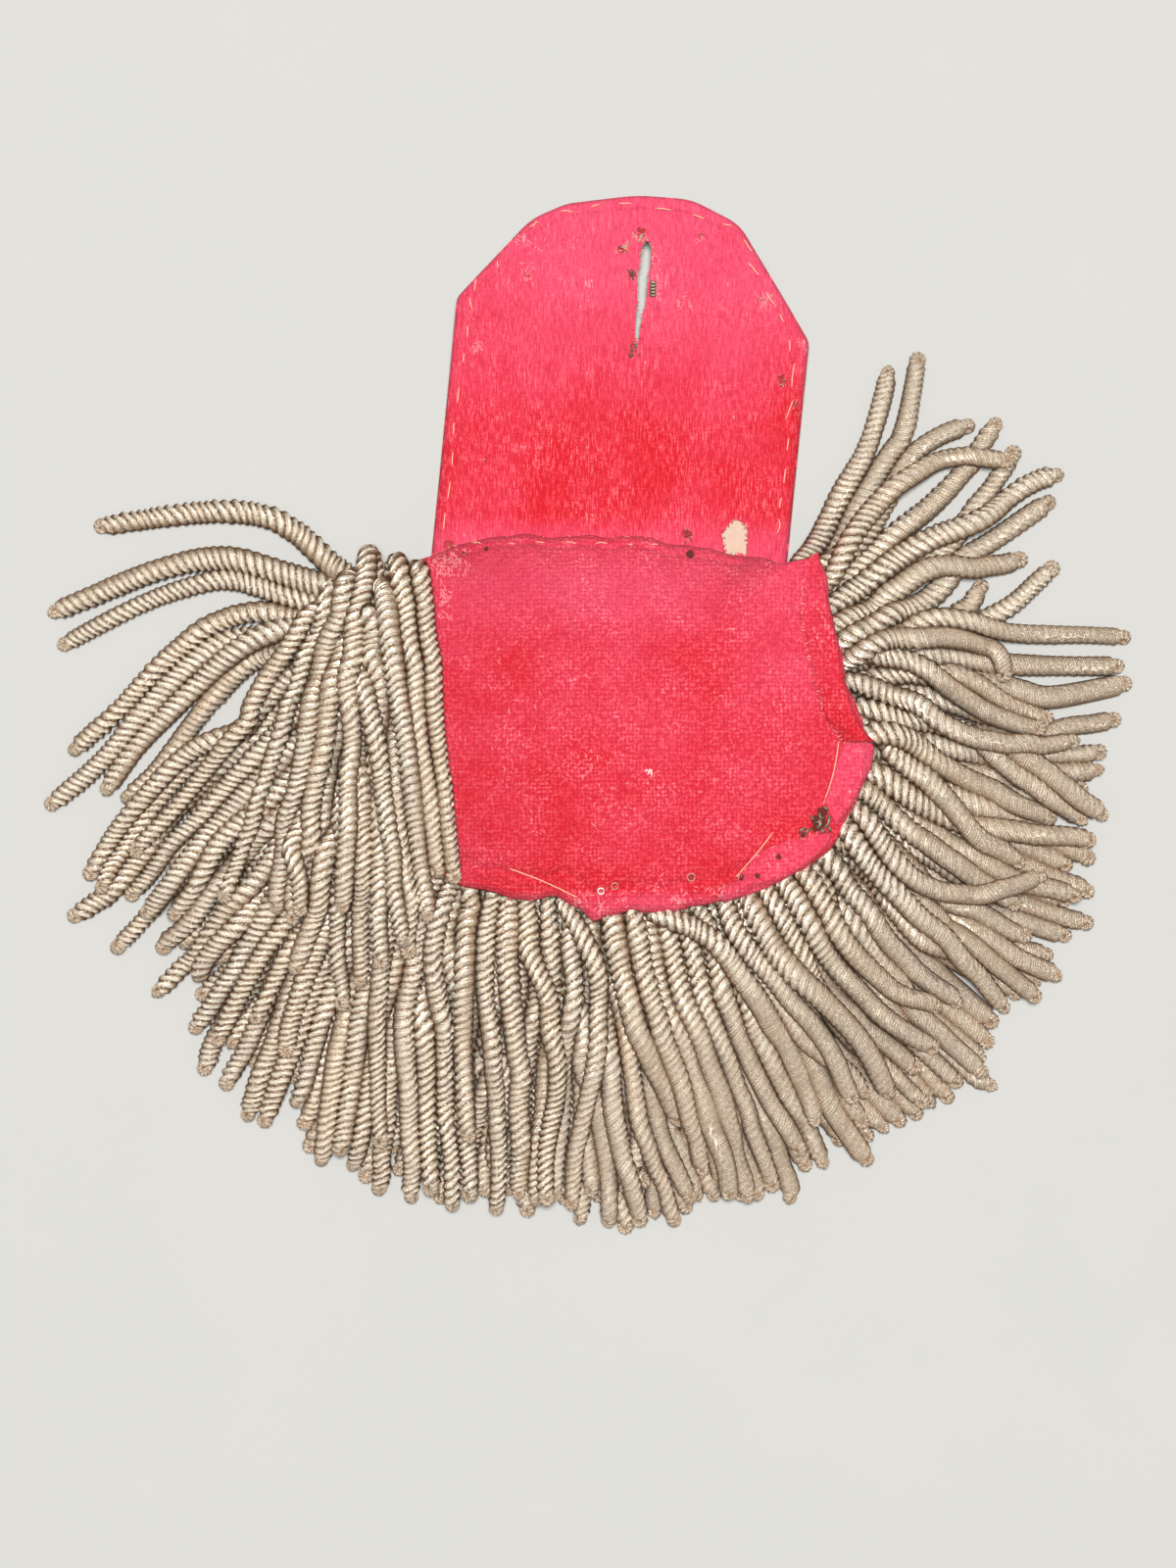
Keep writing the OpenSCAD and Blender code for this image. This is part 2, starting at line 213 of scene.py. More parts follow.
LOWER_STRANDS = [
    (5, 832,850, 838,869, 866,911, 897,954, 921,982, 949,1006, 982,1025),
    (3, 822,880, 826,911, 851,954, 881,985, 912,1015, 961,1028),
    (3, 805,905, 823,954, 857,994, 890,1025, 924,1055, 955,1071),
    (2, 790,910, 805,960, 823,1000, 860,1031, 900,1064, 936,1092),
    (0, 830,890, 880,960, 930,1020, 970,1065, 1004,1098),
    (1, 815,905, 860,975, 910,1035, 950,1080, 981,1107),
    (3, 790,915, 815,990, 850,1040, 881,1074, 946,1126),
    (1, 785,915, 815,990, 855,1055, 900,1105, 938,1141),
    (1, 760,915, 790,1000, 830,1085, 869,1162, 889,1188),
    (1, 740,920, 765,1010, 800,1110, 840,1193),
    (2, 770,910, 800,990, 840,1070, 881,1150),
    (3, 469,905, 471,960, 472,1014, 475,1121, 479,1165),
    (5, 503,905, 498,950, 494,987, 498,1030, 506,1073, 510,1201, 506,1242),
    (3, 512,915, 519,974, 526,1067, 532,1175, 534,1225),
    (5, 528,910, 539,955, 555,992, 569,1030, 574,1062, 571,1110, 555,1188, 558,1228),
    (2, 552,912, 562,950, 566,1010, 560,1070, 545,1190, 545,1230),
    (5, 574,925, 590,952, 606,966, 614,987, 611,1014, 606,1089, 590,1164, 582,1236),
    (3, 578,940, 585,976, 590,1014, 589,1046, 570,1140, 566,1190, 570,1225),
    (4, 622,935, 626,960, 640,1020, 660,1073, 673,1100, 697,1148),
    (3, 645,935, 654,987, 676,1057, 705,1130, 722,1199),
    (4, 678,930, 689,992, 697,1025, 713,1062, 735,1137, 764,1226),
    (4, 705,930, 708,960, 724,992, 740,1030, 767,1094, 786,1121, 818,1177),
    (6, 655,925, 689,939, 719,944, 735,963, 786,1027, 802,1046, 812,1068, 826,1121, 828,1150),
    (4, 740,915, 756,958, 772,982, 799,1009, 850,1075, 870,1125),
    (4, 765,912, 786,950, 807,982, 858,1041, 885,1070, 912,1120),
    (3, 445,915, 447,974, 444,1014, 456,1108, 470,1190, 459,1235),
    (1, 455,905, 462,990, 470,1090, 476,1160, 474,1225),
    (1, 625,930, 635,1000, 644,1094, 654,1169, 689,1228, 692,1251),
    (0, 612,930, 612,1010, 625,1137, 638,1193, 654,1217, 652,1252),
    (0, 590,930, 592,1020, 600,1110, 622,1215, 628,1252),
    (1, 640,930, 650,1020, 665,1137, 686,1193, 708,1225),
    (2, 695,930, 715,1000, 735,1080, 765,1150, 795,1215),
    (3, 748,925, 770,990, 796,1030, 842,1073, 880,1125),
]

# Places where the surface shows between the strands: px, radius in mm
SEEN_FLOOR = [(213,743, 0.8), (227,738, 1.0), (241,733, 0.8)]

# Strands swept down over the left edge of the lining: px of the top bend and of the tip, height
SWEPT = [
    (430,584, 465,898, 17.6), (411,577, 446,893, 17.4), (394,600, 440,940, 16.4), (377,567, 352,930, 16.2),
    (372,640, 415,962, 14.8), (356,596, 284,930, 15.0), (348,660, 302,942, 14.0), (338,606, 232,920, 13.6),
    (384,628, 392,985, 14.6), (366,730, 374,1005, 13.6), (399,650, 420,975, 14.8),
]

# How strongly each kind of strand keeps to its line
FAN_PULL, FOLLOWED_PULL, SWEPT_PULL = 0.03, 0.10, 0.13
# Height of the lowest followed strands, and of a level over the one below
PILE_Z, LEVEL_H = 6.5, 1.9
ROUNDS, QUICK_ROUNDS = 220, 90
SINK = 0.16
ROOT_PULL = 0.25
STIFFNESS = 0.22
PRESSED = 0.97


def length_of(path):
    return np.linalg.norm(np.diff(path, axis=0), axis=1).sum()


def resample(points, count):
    """Points at even steps along a path."""
    along = np.r_[0, np.cumsum(np.linalg.norm(np.diff(points, axis=0), axis=1))]
    want = np.linspace(0, along[-1], count)
    return np.column_stack([np.interp(want, along, column) for column in points.T])


def walk(start, headings, length):
    """Path in plan from headings at even stations along it."""
    share = (np.arange(NODES - 1) + 0.5) / (NODES - 1)
    turn = np.interp(share, np.linspace(0, 1, len(headings)), headings)
    return start + np.cumsum(np.vstack([[0, 0], ray(turn) * length / (NODES - 1)]), axis=0)


def root_at(a, inset=5.5):
    return PAD_AT + (edge(a) - inset) * ray(a)


def planned(group, path, row, z, pull, over=False, slack=1.0):
    return dict(group=group, path=path, row=row, z=z, pull=pull, over=over, length=length_of(path) + slack)


def fan_strands(rng):
    """Strands of the lower layers, that fan out evenly with clumps here and there."""
    plans = []
    for group, count, row, shift, share, z in FAN_LAYERS:
        for i in range(count):
            a = FAN_FROM + (FAN_TO - FAN_FROM) * (i + shift) / count + rng.normal(0, 1.0)
            clump = 5 * math.sin(math.radians(a * 13)) + 4 * math.sin(math.radians(a * 29 + 50))
            first, last, full = (np.interp(a, FAN[:, 0], FAN[:, k]) for k in (1, 2, 3))
            first += rng.normal(0, 4)
            last += clump + rng.normal(0, 5)
            mid = (first + last) / 2 + rng.normal(0, 5)
            length = full * share * (1 + rng.normal(0, 0.03))
            headings = (first, first * 0.6 + mid * 0.4, mid, last, last + rng.normal(0, 8))
            plans.append(planned(group, walk(root_at(a), headings, length), row, z, FAN_PULL))
    return plans


def followed_strands():
    plans = []
    for group, lines in (("left", LEFT_STRANDS), ("right", RIGHT_STRANDS), ("inner", LOWER_STRANDS)):
        for level, *px in lines:
            points = places(zip(px[::2], px[1::2]))
            path = resample(np.vstack([root_at(polar(points[0])[0]), points]), NODES)
            for _ in range(4):
                path[1:-1] = (path[:-2] + 2 * path[1:-1] + path[2:]) / 4
            row, z = min(2, (level + 1) // 2), PILE_Z + LEVEL_H * level
            plans.append(planned(group, path, row, z, FOLLOWED_PULL))
    return plans


def swept_strands():
    plans = []
    for k, (*px, height) in enumerate(SWEPT):
        top, tip = place(*px[:2]), place(*px[2:])
        root = root_at(150 + 14 * k / len(SWEPT))
        down = unit(tip - top)
        out = top - down * 1.5
        points = [root, (root + out) / 2 + (-2, 1.5), out, top + down * 3]
        points += [top + (tip - top) * s for s in np.linspace(0.15, 1, 9)]
        path = resample(np.array(points), NODES)
        plans.append(planned("swept", path, 2, height + 1.5, SWEPT_PULL, over=True, slack=4.0))
    return plans


def relax(plans):
    """Lets the strands settle on the surface and on each other from their planned paths."""
    share = np.linspace(0, 1, NODES)
    nodes = np.zeros((len(plans), NODES, 3))
    for spots, p in zip(nodes, plans):
        head = BAND_Z[p["row"]] + BAND_H / 2
        spots[:, :2] = p["path"]
        spots[:, 2] = head + (p["z"] - head) * ease(share * (9 if p["over"] else 4) - 0.25)
    plan = nodes.copy()
    rest = np.array([p["length"] for p in plans])[:, None, None] / (NODES - 1)
    pull = np.array([p["pull"] for p in plans])[:, None, None]
    swept = np.array([p["over"] for p in plans])
    radii = np.tile(np.interp(share, *zip(*GIRTH)), (len(plans), 1))
    radii[swept] = np.maximum(radii[swept] * 0.9, 1.6)
    owner = np.repeat(np.arange(len(plans)), NODES)
    rounds = ROUNDS
    for step in range(rounds):
        nodes[:, 2:, 2] -= SINK * (1 - 0.7 * (step / rounds)) * (ROUNDS / rounds) ** 0.5
        nodes[:, :, :2] += (plan[:, :, :2] - nodes[:, :, :2]) * pull
        nodes[:, :2] += (plan[:, :2] - nodes[:, :2]) * ROOT_PULL
        bend = (nodes[:, :-2] + nodes[:, 2:]) / 2 - nodes[:, 1:-1]
        nodes[:, 1:-1] += bend * STIFFNESS
        if step % 6 == 0:
            pairs = near_pairs(nodes.reshape(-1, 3), owner)
        for _ in range(3):
            push_apart(nodes.reshape(-1, 3), pairs, radii.reshape(-1))
            keep_lengths(nodes, rest)
            bound(nodes, radii, swept)
    return nodes, radii


def near_pairs(points, owner, reach=6.5):
    """Pairs of nodes of different strands that may come to touch."""
    tree = kdtree.KDTree(len(points))
    for i, p in enumerate(points):
        tree.insert(p, i)
    tree.balance()
    found = [(i, j) for i, p in enumerate(points) for _, j, _ in tree.find_range(p, reach)
             if j > i and owner[i] != owner[j]]
    return np.array(found).T


def push_apart(flat, pairs, radius):
    i, j = pairs
    gap = flat[i] - flat[j]
    dist = np.linalg.norm(gap, axis=1) + 1e-9
    deep = (radius[i] + radius[j]) * PRESSED - dist
    hit = deep > 0
    i, j = i[hit], j[hit]
    move = gap[hit] / dist[hit, None] * (deep[hit] * 0.25)[:, None]
    for k in range(3):
        flat[:, k] += np.bincount(i, move[:, k], len(flat)) - np.bincount(j, move[:, k], len(flat))


def keep_lengths(nodes, rest):
    for start in (0, 1):
        a, b = nodes[:, start:-1:2], nodes[:, start + 1::2]
        length = np.linalg.norm(b - a, axis=2, keepdims=True) + 1e-9
        shift = (b - a) / length * (length - rest) * 0.5
        a += shift
        b -= shift


def bound(nodes, radii, swept):
    """Keeps strands above the surface, under the lining's rim, and swept ones over the lining."""
    height = nodes[..., 2]
    np.maximum(height, radii + 0.1, out=height)
    for *spot, size in SEEN_FLOOR:
        away = nodes[..., :2] - place(*spot)
        far = np.linalg.norm(away, axis=-1) + 1e-6
        nodes[..., :2] += away / far[..., None] * (0.5 * np.clip(size + radii - far, 0, None))[..., None]
    a, r = polar(nodes[..., :2])
    within = r < soft_edge(a) + 0.5
    under = within & ~swept[:, None]
    low = np.where(under, BOARD_TOP + radii * 0.6, radii)
    roof = np.maximum(under_z(a) - radii * 0.9, low)
    height[:] = np.where(under, np.clip(height, low, roof), height)
    over = within & swept[:, None] & (np.arange(NODES) > 4)
    height[:] = np.where(over, np.maximum(height, pad_top(nodes[..., :2]) + radii * 0.95), height)


# MESHES
def mesh_piece(name, points, faces, material, values=None):
    """One smooth object from points in millimetres and arrays of faces, with values for its points."""
    mesh = bpy.data.meshes.new(name)
    corners = np.concatenate([f.reshape(-1) for f in faces]).astype(np.int32)
    sizes = np.concatenate([np.full(len(f), f.shape[1]) for f in faces])
    mesh.vertices.add(len(points))
    mesh.vertices.foreach_set("co", (np.asarray(points, float) * MM).astype(np.float32).ravel())
    mesh.loops.add(len(corners))
    mesh.loops.foreach_set("vertex_index", corners)
    mesh.polygons.add(len(sizes))
    mesh.polygons.foreach_set("loop_start", (np.cumsum(sizes) - sizes).astype(np.int32))
    mesh.update(calc_edges=True)
    mesh.validate()
    mesh.shade_smooth()
    for key, data in (values or {}).items():
        attribute = mesh.attributes.new(key, "FLOAT_VECTOR", "POINT")
        attribute.data.foreach_set("vector", np.asarray(data, np.float32).ravel())
    mesh.materials.append(material)
    obj = bpy.data.objects.new(name, mesh)
    bpy.context.scene.collection.objects.link(obj)
    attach(obj, "root")
    return obj


def cells(rows, columns, closed=True, ring=False):
    """Faces of a grid of points, whose rows are closed, and whose last row meets the first in a ring."""
    i = np.arange(rows if ring else rows - 1)[:, None]
    j = np.arange(columns if closed else columns - 1)
    here, after, beside = i * columns, (i + 1) % rows * columns, (j + 1) % columns
    return np.stack([here + j, after + j, after + beside, here + beside], -1).reshape(-1, 4)


def copies(faces, count, size):
    """The same faces for each of several meshes that have the same number of points."""
    return (faces + (np.arange(count) * size)[:, None, None]).reshape(-1, faces.shape[1])


def carried_frames(path):
    """Two directions across each of several paths, (paths, points, 3), that turn no more than they must."""
    way = unit(np.gradient(path, axis=1))
    up = np.zeros_like(path)
    up[:, 0] = unit(np.array([0, 0, 1.0]) - way[:, 0] * way[:, 0, 2:3])
    for k in range(1, path.shape[1]):
        up[:, k] = unit(up[:, k - 1] - way[:, k] * (up[:, k - 1] * way[:, k]).sum(1, keepdims=True))
    return way, np.cross(up, way), up


def smooth_path(nodes, stations):
    """Points at the given shares of each path's length on a curve through its nodes."""
    last = NODES - 1
    t = stations * last
    k = np.clip(t.astype(int), 0, last - 1)
    f = (t - k)[None, :, None]
    p0, p1, p2, p3 = (nodes[:, np.clip(k + step, 0, last)] for step in (-1, 0, 1, 2))
    return 0.5 * (2 * p1 + (p2 - p0) * f + (2 * p0 - 5 * p1 + 4 * p2 - p3) * f * f
                  + (3 * p1 - p0 - 3 * p2 + p3) * f ** 3)


# The twist: how many ridges run side by side and how often, rings of points for each ridge and their gap,
# the whole number of rings that strands of a like length share, points round a strand
TWISTS = ((1, 2, 3), (0.3, 0.5, 0.2))
RIDGE_RINGS = 4
RING_GAP = 0.36
RING_CLASS = 12
SIDES = 12
# Where a strand starts to close before its end, and over what length
CLOSE_FROM, CLOSE_OVER = 1.5, 1.3
# Depth of the grooves, and how far the ridges bend over into hooks
GROOVE_DEPTH = 0.62
HOOK = 0.52
# How crisp the ridges are at places across the fringe
CRISP_X = (-60, -18, 5, 32)
CRISP = (1.1, 1.0, 0.65, 0.3)
# The loop that ends a strand: radii of the ring and of its wire, half its thickness, points round both
EYE_MAJOR = 0.86
EYE_MINOR = 0.58
EYE_HALF_T = 1.05
EYE_STEPS = (20, 8)


def strand_rings(nodes, girths, rings, rng):
    """Path, tone, points, faces and values of twisted strands that have the same count of rings."""
    each = (len(nodes), 1, 1)
    share = np.linspace(0, 1, rings)
    stations = share * (1.09 - 0.09 * share)
    path = smooth_path(nodes, stations)
    way, side, up = carried_frames(path)
    along = np.zeros((len(nodes), rings, 1))
    along[:, 1:, 0] = np.cumsum(np.linalg.norm(np.diff(path, axis=1), axis=2), axis=1)
    total = along[:, -1:]
    base = np.stack([np.interp(stations, np.linspace(0, 1, NODES), r) for r in girths])[..., None]
    base *= 1 + 0.07 * rng.standard_normal(each).clip(-1.6, 1.6)
    base *= 1 + 0.03 * np.sin(along * rng.uniform(0.15, 0.4, each) + rng.uniform(0, 6, each))
    tone = rng.uniform(0, 1, each)
    tip = nodes[:, -1:]
    crisp = np.interp(tip[..., :1], CRISP_X, CRISP) + rng.uniform(-0.25, 0.2, each)
    crisp += 0.4 * ease((tip[..., 1:2] - 12) / 25)
    smooth = (1 - crisp.clip(0, 1)) * ease((along / total - 0.25) / 0.45)
    depth = GROOVE_DEPTH * (1 - smooth) * rng.uniform(0.85, 1.15, each)
    close = np.sqrt(np.clip((total - along - CLOSE_FROM) / CLOSE_OVER, 0, 1))
    base = base * (0.12 + 0.88 * close) + 0.02
    twist = rng.choice(TWISTS[0], each, p=TWISTS[1])
    drift = 0.25 * np.sin(along * rng.uniform(0.25, 0.7, each) + rng.uniform(0, 6, each))
    pitch = RIDGE_RINGS * rng.uniform(0.9, 1.1, each)
    j = np.arange(SIDES)
    theta = 2 * np.pi * j / SIDES - np.pi / 2
    # The side of each strand that faces up, give or take: its ridges stand highest and hook over there, and
    # the material paints highlight there and shade opposite
    facing = np.arctan2(up[..., 2:], side[..., 2:]) + rng.uniform(-0.8, 0.8, each)
    facing += 0.4 * np.sin(along * rng.uniform(0.05, 0.15, each))
    crested = 0.5 + 0.5 * np.cos(theta - facing)
    hook = HOOK / (twist + 0.4) * np.tanh(2.2 * np.sin(theta - facing))
    turn = np.arange(rings)[:, None] / pitch - j * twist / SIDES + drift - hook
    heights = rng.normal(0, 0.08, (len(nodes), 64))
    stand = heights[np.arange(len(nodes))[:, None, None], np.floor(turn).astype(int) % 64]
    groove = (1 - np.abs(np.sin(np.pi * turn))) ** 0.8
    smooth = np.clip(smooth + 0.3 * (1 - crested), 0, 1)
    radius = base + 0.12 - depth * close * (0.45 + 0.7 * crested) * (groove - stand)
    ring = side[:, :, None] * np.cos(theta)[:, None] + up[:, :, None] * np.sin(theta)[:, None]
    tube = path[:, :, None] + ring * radius[..., None]
    tube[..., 2] = np.maximum(tube[..., 2], 0.02)
    around = np.stack([np.cos(2 * np.pi * turn), np.sin(2 * np.pi * turn), crested], axis=-1)
    # The look holds how far each point faces sideways, which the material paints as shade, then its tone and
    # its smoothness
    look = np.stack(np.broadcast_arrays(np.clip(1 - ring[..., 2], 0, 1), tone, smooth), axis=-1)
    quads = cells(rings, SIDES)
    last = (rings - 1) * SIDES
    ends = [face for k in range(1, SIDES - 1) for face in ((0, k + 1, k), (last, last + k, last + k + 1))]
    one = np.concatenate([quads[:, [0, 2, 1]], quads[:, [0, 3, 2]], ends])
    faces = copies(one, len(nodes), rings * SIDES)
    return path, way, tone, tube.reshape(-1, 3), faces, around.reshape(-1, 3), look.reshape(-1, 3)


def strand_eyes(path, way, tone, rng):
    """Points, faces and values of the open loops that end the strands."""
    big, small = EYE_STEPS
    each = (len(path), 1, 1, 1)
    u = 2 * np.pi * np.arange(big)[:, None, None] / big
    v = 2 * np.pi * np.arange(small)[:, None] / small
    size = rng.uniform(0.82, 1.1, each)
    lean = np.radians(rng.uniform(-60, 60, each))
    end, ahead = path[:, -1, None, None], way[:, -1, None, None]
    level = unit(np.cross(np.array([0, 0, 1.0]), ahead))
    axis = np.cross(ahead, level) * np.cos(lean) + level * np.sin(lean)
    spoke = ahead * np.cos(u) + np.cross(axis, ahead) * np.sin(u)
    comb = np.cos(np.arange(big) * np.pi)[:, None]
    reach = (EYE_MAJOR + EYE_MINOR * np.cos(v)) * (1 + 0.09 * comb[..., None]) * size
    eye = end - ahead * (EYE_MAJOR + EYE_MINOR) + spoke * reach + axis * (EYE_HALF_T * np.sin(v))
    eye[..., 2] = np.maximum(eye[..., 2], 0.05)
    # Painted shade inside the loop's hole, stored as the look's sideways value
    dark = 0.15 + 0.5 * np.clip(-np.cos(v[:, 0]), 0, 1) ** 2
    none = np.zeros(eye.shape[:3])
    look = np.stack(np.broadcast_arrays(dark, tone, none + 0.5), axis=-1)
    around = np.stack(np.broadcast_arrays(-comb, none, none), axis=-1)
    faces = copies(cells(big, small, ring=True), len(path), big * small)
    return eye.reshape(-1, 3), faces, around.reshape(-1, 3), look.reshape(-1, 3)


def coiled_strands(name, nodes, radii, material, rng):
    """Bullion strands: each a twisted coil with a loop at its end, all in one mesh."""
    lengths = np.linalg.norm(np.diff(nodes, axis=1), axis=2).sum(1)
    rings = (lengths / RING_GAP / RING_CLASS).round().astype(int) * RING_CLASS
    parts = []
    for size in np.unique(rings):
        some = rings == size
        path, way, tone, *tube = strand_rings(nodes[some], radii[some], size, rng)
        parts += [tube, strand_eyes(path, way, tone, rng)]
    starts = np.cumsum([0] + [len(part[0]) for part in parts])
    faces = [part[1] + start for part, start in zip(parts, starts)]
    points, around, look = (np.concatenate([part[k] for part in parts]) for k in (0, 2, 3))
    return mesh_piece(name, points, faces, material, {"around": around, "look": look})


def tubes(paths, radius, sides):
    """Points and faces of thin threads with pointed ends, each along its own path."""
    t = 2 * np.pi * np.arange(sides)[:, None] / sides
    points, faces = [], []
    base = 0
    for path in paths:
        n = len(path)
        _, side, up = carried_frames(path[None])
        width = radius * np.minimum(1, np.minimum(np.arange(n), np.arange(n)[::-1]) * 0.75 + 0.3)
        ring = side[0][:, None] * np.cos(t) + up[0][:, None] * np.sin(t)
        points.append((path[:, None] + ring * width[:, None, None]).reshape(-1, 3))
        faces.append(cells(n, sides)[:, [0, 3, 2, 1]] + base)
        base += n * sides
    return np.concatenate(points), np.concatenate(faces)


def bell(x, at, width):
    return np.exp(-((x - at) / width) ** 2)


def round_off(share):
    """How far a rounded edge has dropped at a share of its width from the outside."""
    return 1 - np.sqrt(1 - (1 - np.clip(share, 0, 1)) ** 2)


def waves(xy, seed, size, octaves=3):
    """Smooth unevenness from -1 to 1, from a few crossed waves of random direction."""
    rng = np.random.default_rng(seed)
    total = np.zeros(xy.shape[:-1])
    weight = 0
    for o in range(octaves):
        for _ in range(5):
            turn = rng.uniform(0, 2 * np.pi)
            k = 2 * np.pi / (size / 2 ** o * rng.uniform(0.7, 1.4))
            phase = rng.uniform(0, 2 * np.pi)
            total += np.sin(k * (xy[..., 0] * np.cos(turn) + xy[..., 1] * np.sin(turn)) + phase) / 2 ** o
        weight += 2.2 / 2 ** o
    return total / weight


# MATERIALS
class Value:
    """An output of a shader node, with arithmetic that adds more nodes."""

    def __init__(self, socket):
        self.socket = socket
        self.tree = socket.id_data

    def math(self, operation, other=None, clamp=False):
        inputs = {0: self} if other is None else {0: self, 1: other}
        return add(self.tree, "ShaderNodeMath", inputs, operation=operation, use_clamp=clamp)

    def __add__(self, other):
        return self.math("ADD", other)

    def __sub__(self, other):
        return self.math("SUBTRACT", other)

    def __mul__(self, other):
        return self.math("MULTIPLY", other)

    def ramp(self, low, high, start=0.0, end=1.0):
        return add(self.tree, "ShaderNodeMapRange", {0: self, 1: low, 2: high, 3: start, 4: end}, clamp=True)

    def mix(self, first, second):
        """The first colour where this value is 0, and the second where it is 1."""
        a, b = (c if isinstance(c, Value) else (*c, 1) for c in (first, second))
        return add(self.tree, "ShaderNodeMix", {0: self, 6: a, 7: b}, 2, data_type="RGBA")

    def vector(self, operation, other, output=0):
        return add(self.tree, "ShaderNodeVectorMath", {0: self, 1: other}, output, operation=operation)

    def parts(self):
        return [Value(s) for s in add(self.tree, "ShaderNodeSeparateXYZ", {0: self}).socket.node.outputs]


def add(tree, kind, inputs, output=0, **settings):
    """An output of a new node; each input is a number, a colour or the output of another node."""
    node = tree.nodes.new(kind)
    for key, value in settings.items():
        setattr(node, key, value)
    for key, value in inputs.items():
        if isinstance(value, Value):
            tree.links.new(value.socket, node.inputs[key])
        else:
            node.inputs[key].default_value = value
    return Value(node.outputs[output])


def new_material(name, values):
    """A material, its shader with values on the shader's own sockets, and places in millimetres."""
    mat = bpy.data.materials.new(name)
    mat.use_nodes = True
    tree = mat.node_tree
    shader = tree.nodes["Principled BSDF"]
    for key, value in values.items():
        shader.inputs[key].default_value = value
    at = add(tree, "ShaderNodeTexCoord", {}, "Object")
    return mat, shader, add(tree, "ShaderNodeVectorMath", {0: at, "Scale": 1000.0}, operation="SCALE")


def noise(at, scale, detail=3.0, roughness=0.6):
    inputs = {"Vector": at, "Scale": scale, "Detail": detail, "Roughness": roughness}
    return add(at.tree, "ShaderNodeTexNoise", inputs, "Fac")


def attribute(tree, name):
    return add(tree, "ShaderNodeAttribute", {}, "Vector", attribute_name=name).parts()


def dress(shader, base, height, depth):
    """Gives a shader its colour and a fine relief of the given depth in millimetres."""
    relief = add(base.tree, "ShaderNodeBump", {"Height": height, "Distance": depth * MM, "Strength": 1.0})
    base.tree.links.new(base.socket, shader.inputs["Base Color"])
    base.tree.links.new(relief.socket, shader.inputs["Normal"])


# Colours of the wire: worn bright, also painted as highlight; tint of its shine; aged; dulled; brown
# tarnish, also painted as shade on the strands' sides; dark tarnish of the grooves, also painted as shade at
# the strands' edges
SILVER_LIT = (1.0, 0.94, 0.80)
SILVER_EDGE = (0.72, 0.44, 0.24)
SILVER_AGED = (0.92, 0.75, 0.56)
SILVER_DULL = (0.55, 0.435, 0.325)
SILVER_TARNISH_AND_SHADE = (0.25, 0.146, 0.076)
SILVER_DEEP_TARNISH_AND_SHADE = (0.06, 0.03, 0.014)


def bullion_material():
    """Old silver wire: bright worn ridges, fine wires along each ridge and tarnish in the grooves, with
    painted shade on the sides that face away from up and painted highlight on the upper hooks and glints.
    """
    mat, shader, at = new_material("silver_bullion_wire", {
        "Metallic": 0.8, "Specular IOR Level": 0.1, "Specular Tint": (*SILVER_EDGE, 1)})
    # side: how far the surface faces sideways rather than up, used to paint shade; crested: nearness to the
    # strand's upper side, used to paint highlight and shade
    side, tone, smooth = attribute(mat.node_tree, "look")
    cosine, sine, crested = attribute(mat.node_tree, "around")
    turn = sine.math("ARCTAN2", cosine)
    broken = noise(at, 2.6, 3.0, 0.75)
    wire = (turn * 4.0 + broken * 5.0).math("SINE")
    fine = (turn * 3.0 + broken * 2.0).math("SINE")
    rubbed = turn.math("ABSOLUTE") * (1 / math.pi) + (broken * 1.5 - 0.75)
    plain = smooth.ramp(0.05, 0.55, 1.0, 0.15)
    grime = rubbed.ramp(0.90, 0.25) * plain
    # Painted highlight on the hooks of the strand's upper side
    hook_highlight = rubbed.ramp(0.45, 0.85) * crested.ramp(0.55, 0.98) * smooth.ramp(0.1, 0.6, 0.9, 0.15)
    glint = noise(at, 3.4, 2.0, 0.8).ramp(0.54, 0.66)
    base = (tone * 0.5 + noise(at, 0.16, 2.0) * 0.8).ramp(0.35, 1.0).mix(SILVER_LIT, SILVER_AGED)
    for share, colour in (
            # Painted shade: darker where the strand faces sideways rather than up
            (side.ramp(0.06, 0.68, 0.0, 0.93), SILVER_TARNISH_AND_SHADE),
            (grime * 0.8, SILVER_TARNISH_AND_SHADE),
            (rubbed.ramp(0.36, 0.05) * plain * 0.85, SILVER_DEEP_TARNISH_AND_SHADE),
            (wire.ramp(0.0, 1.0, 0.0, 0.2), SILVER_TARNISH_AND_SHADE),
            (smooth.ramp(0.05, 0.7, 0.0, 0.75), SILVER_DULL),
            (fine.ramp(-0.2, 0.9) * smooth.ramp(0.05, 0.5, 0.0, 0.6), SILVER_TARNISH_AND_SHADE),
            # Painted highlight on the hooks of the strand's upper side
            (hook_highlight, SILVER_LIT),
            # Painted shade on the side of the strand away from its upper crest
            (crested.ramp(0.8, 0.35, 0.0, 0.4) * plain, SILVER_TARNISH_AND_SHADE),
            # Painted glints on the parts that face up
            (glint * side.ramp(0.7, 0.15, 0.0, 0.9), SILVER_LIT),
            # Painted shade: near black at the strand's edges
            (side.ramp(0.45, 0.95, 0.0, 0.85), SILVER_DEEP_TARNISH_AND_SHADE)):
        base = share.mix(base, colour)
    dress(shader, base, wire * -0.35 + broken * 1.6, 0.18)
    rough = grime.ramp(0.0, 1.0, 0.29, 0.6) + smooth * 0.15
    base.tree.links.new(rough.socket, shader.inputs["Roughness"])
    return mat


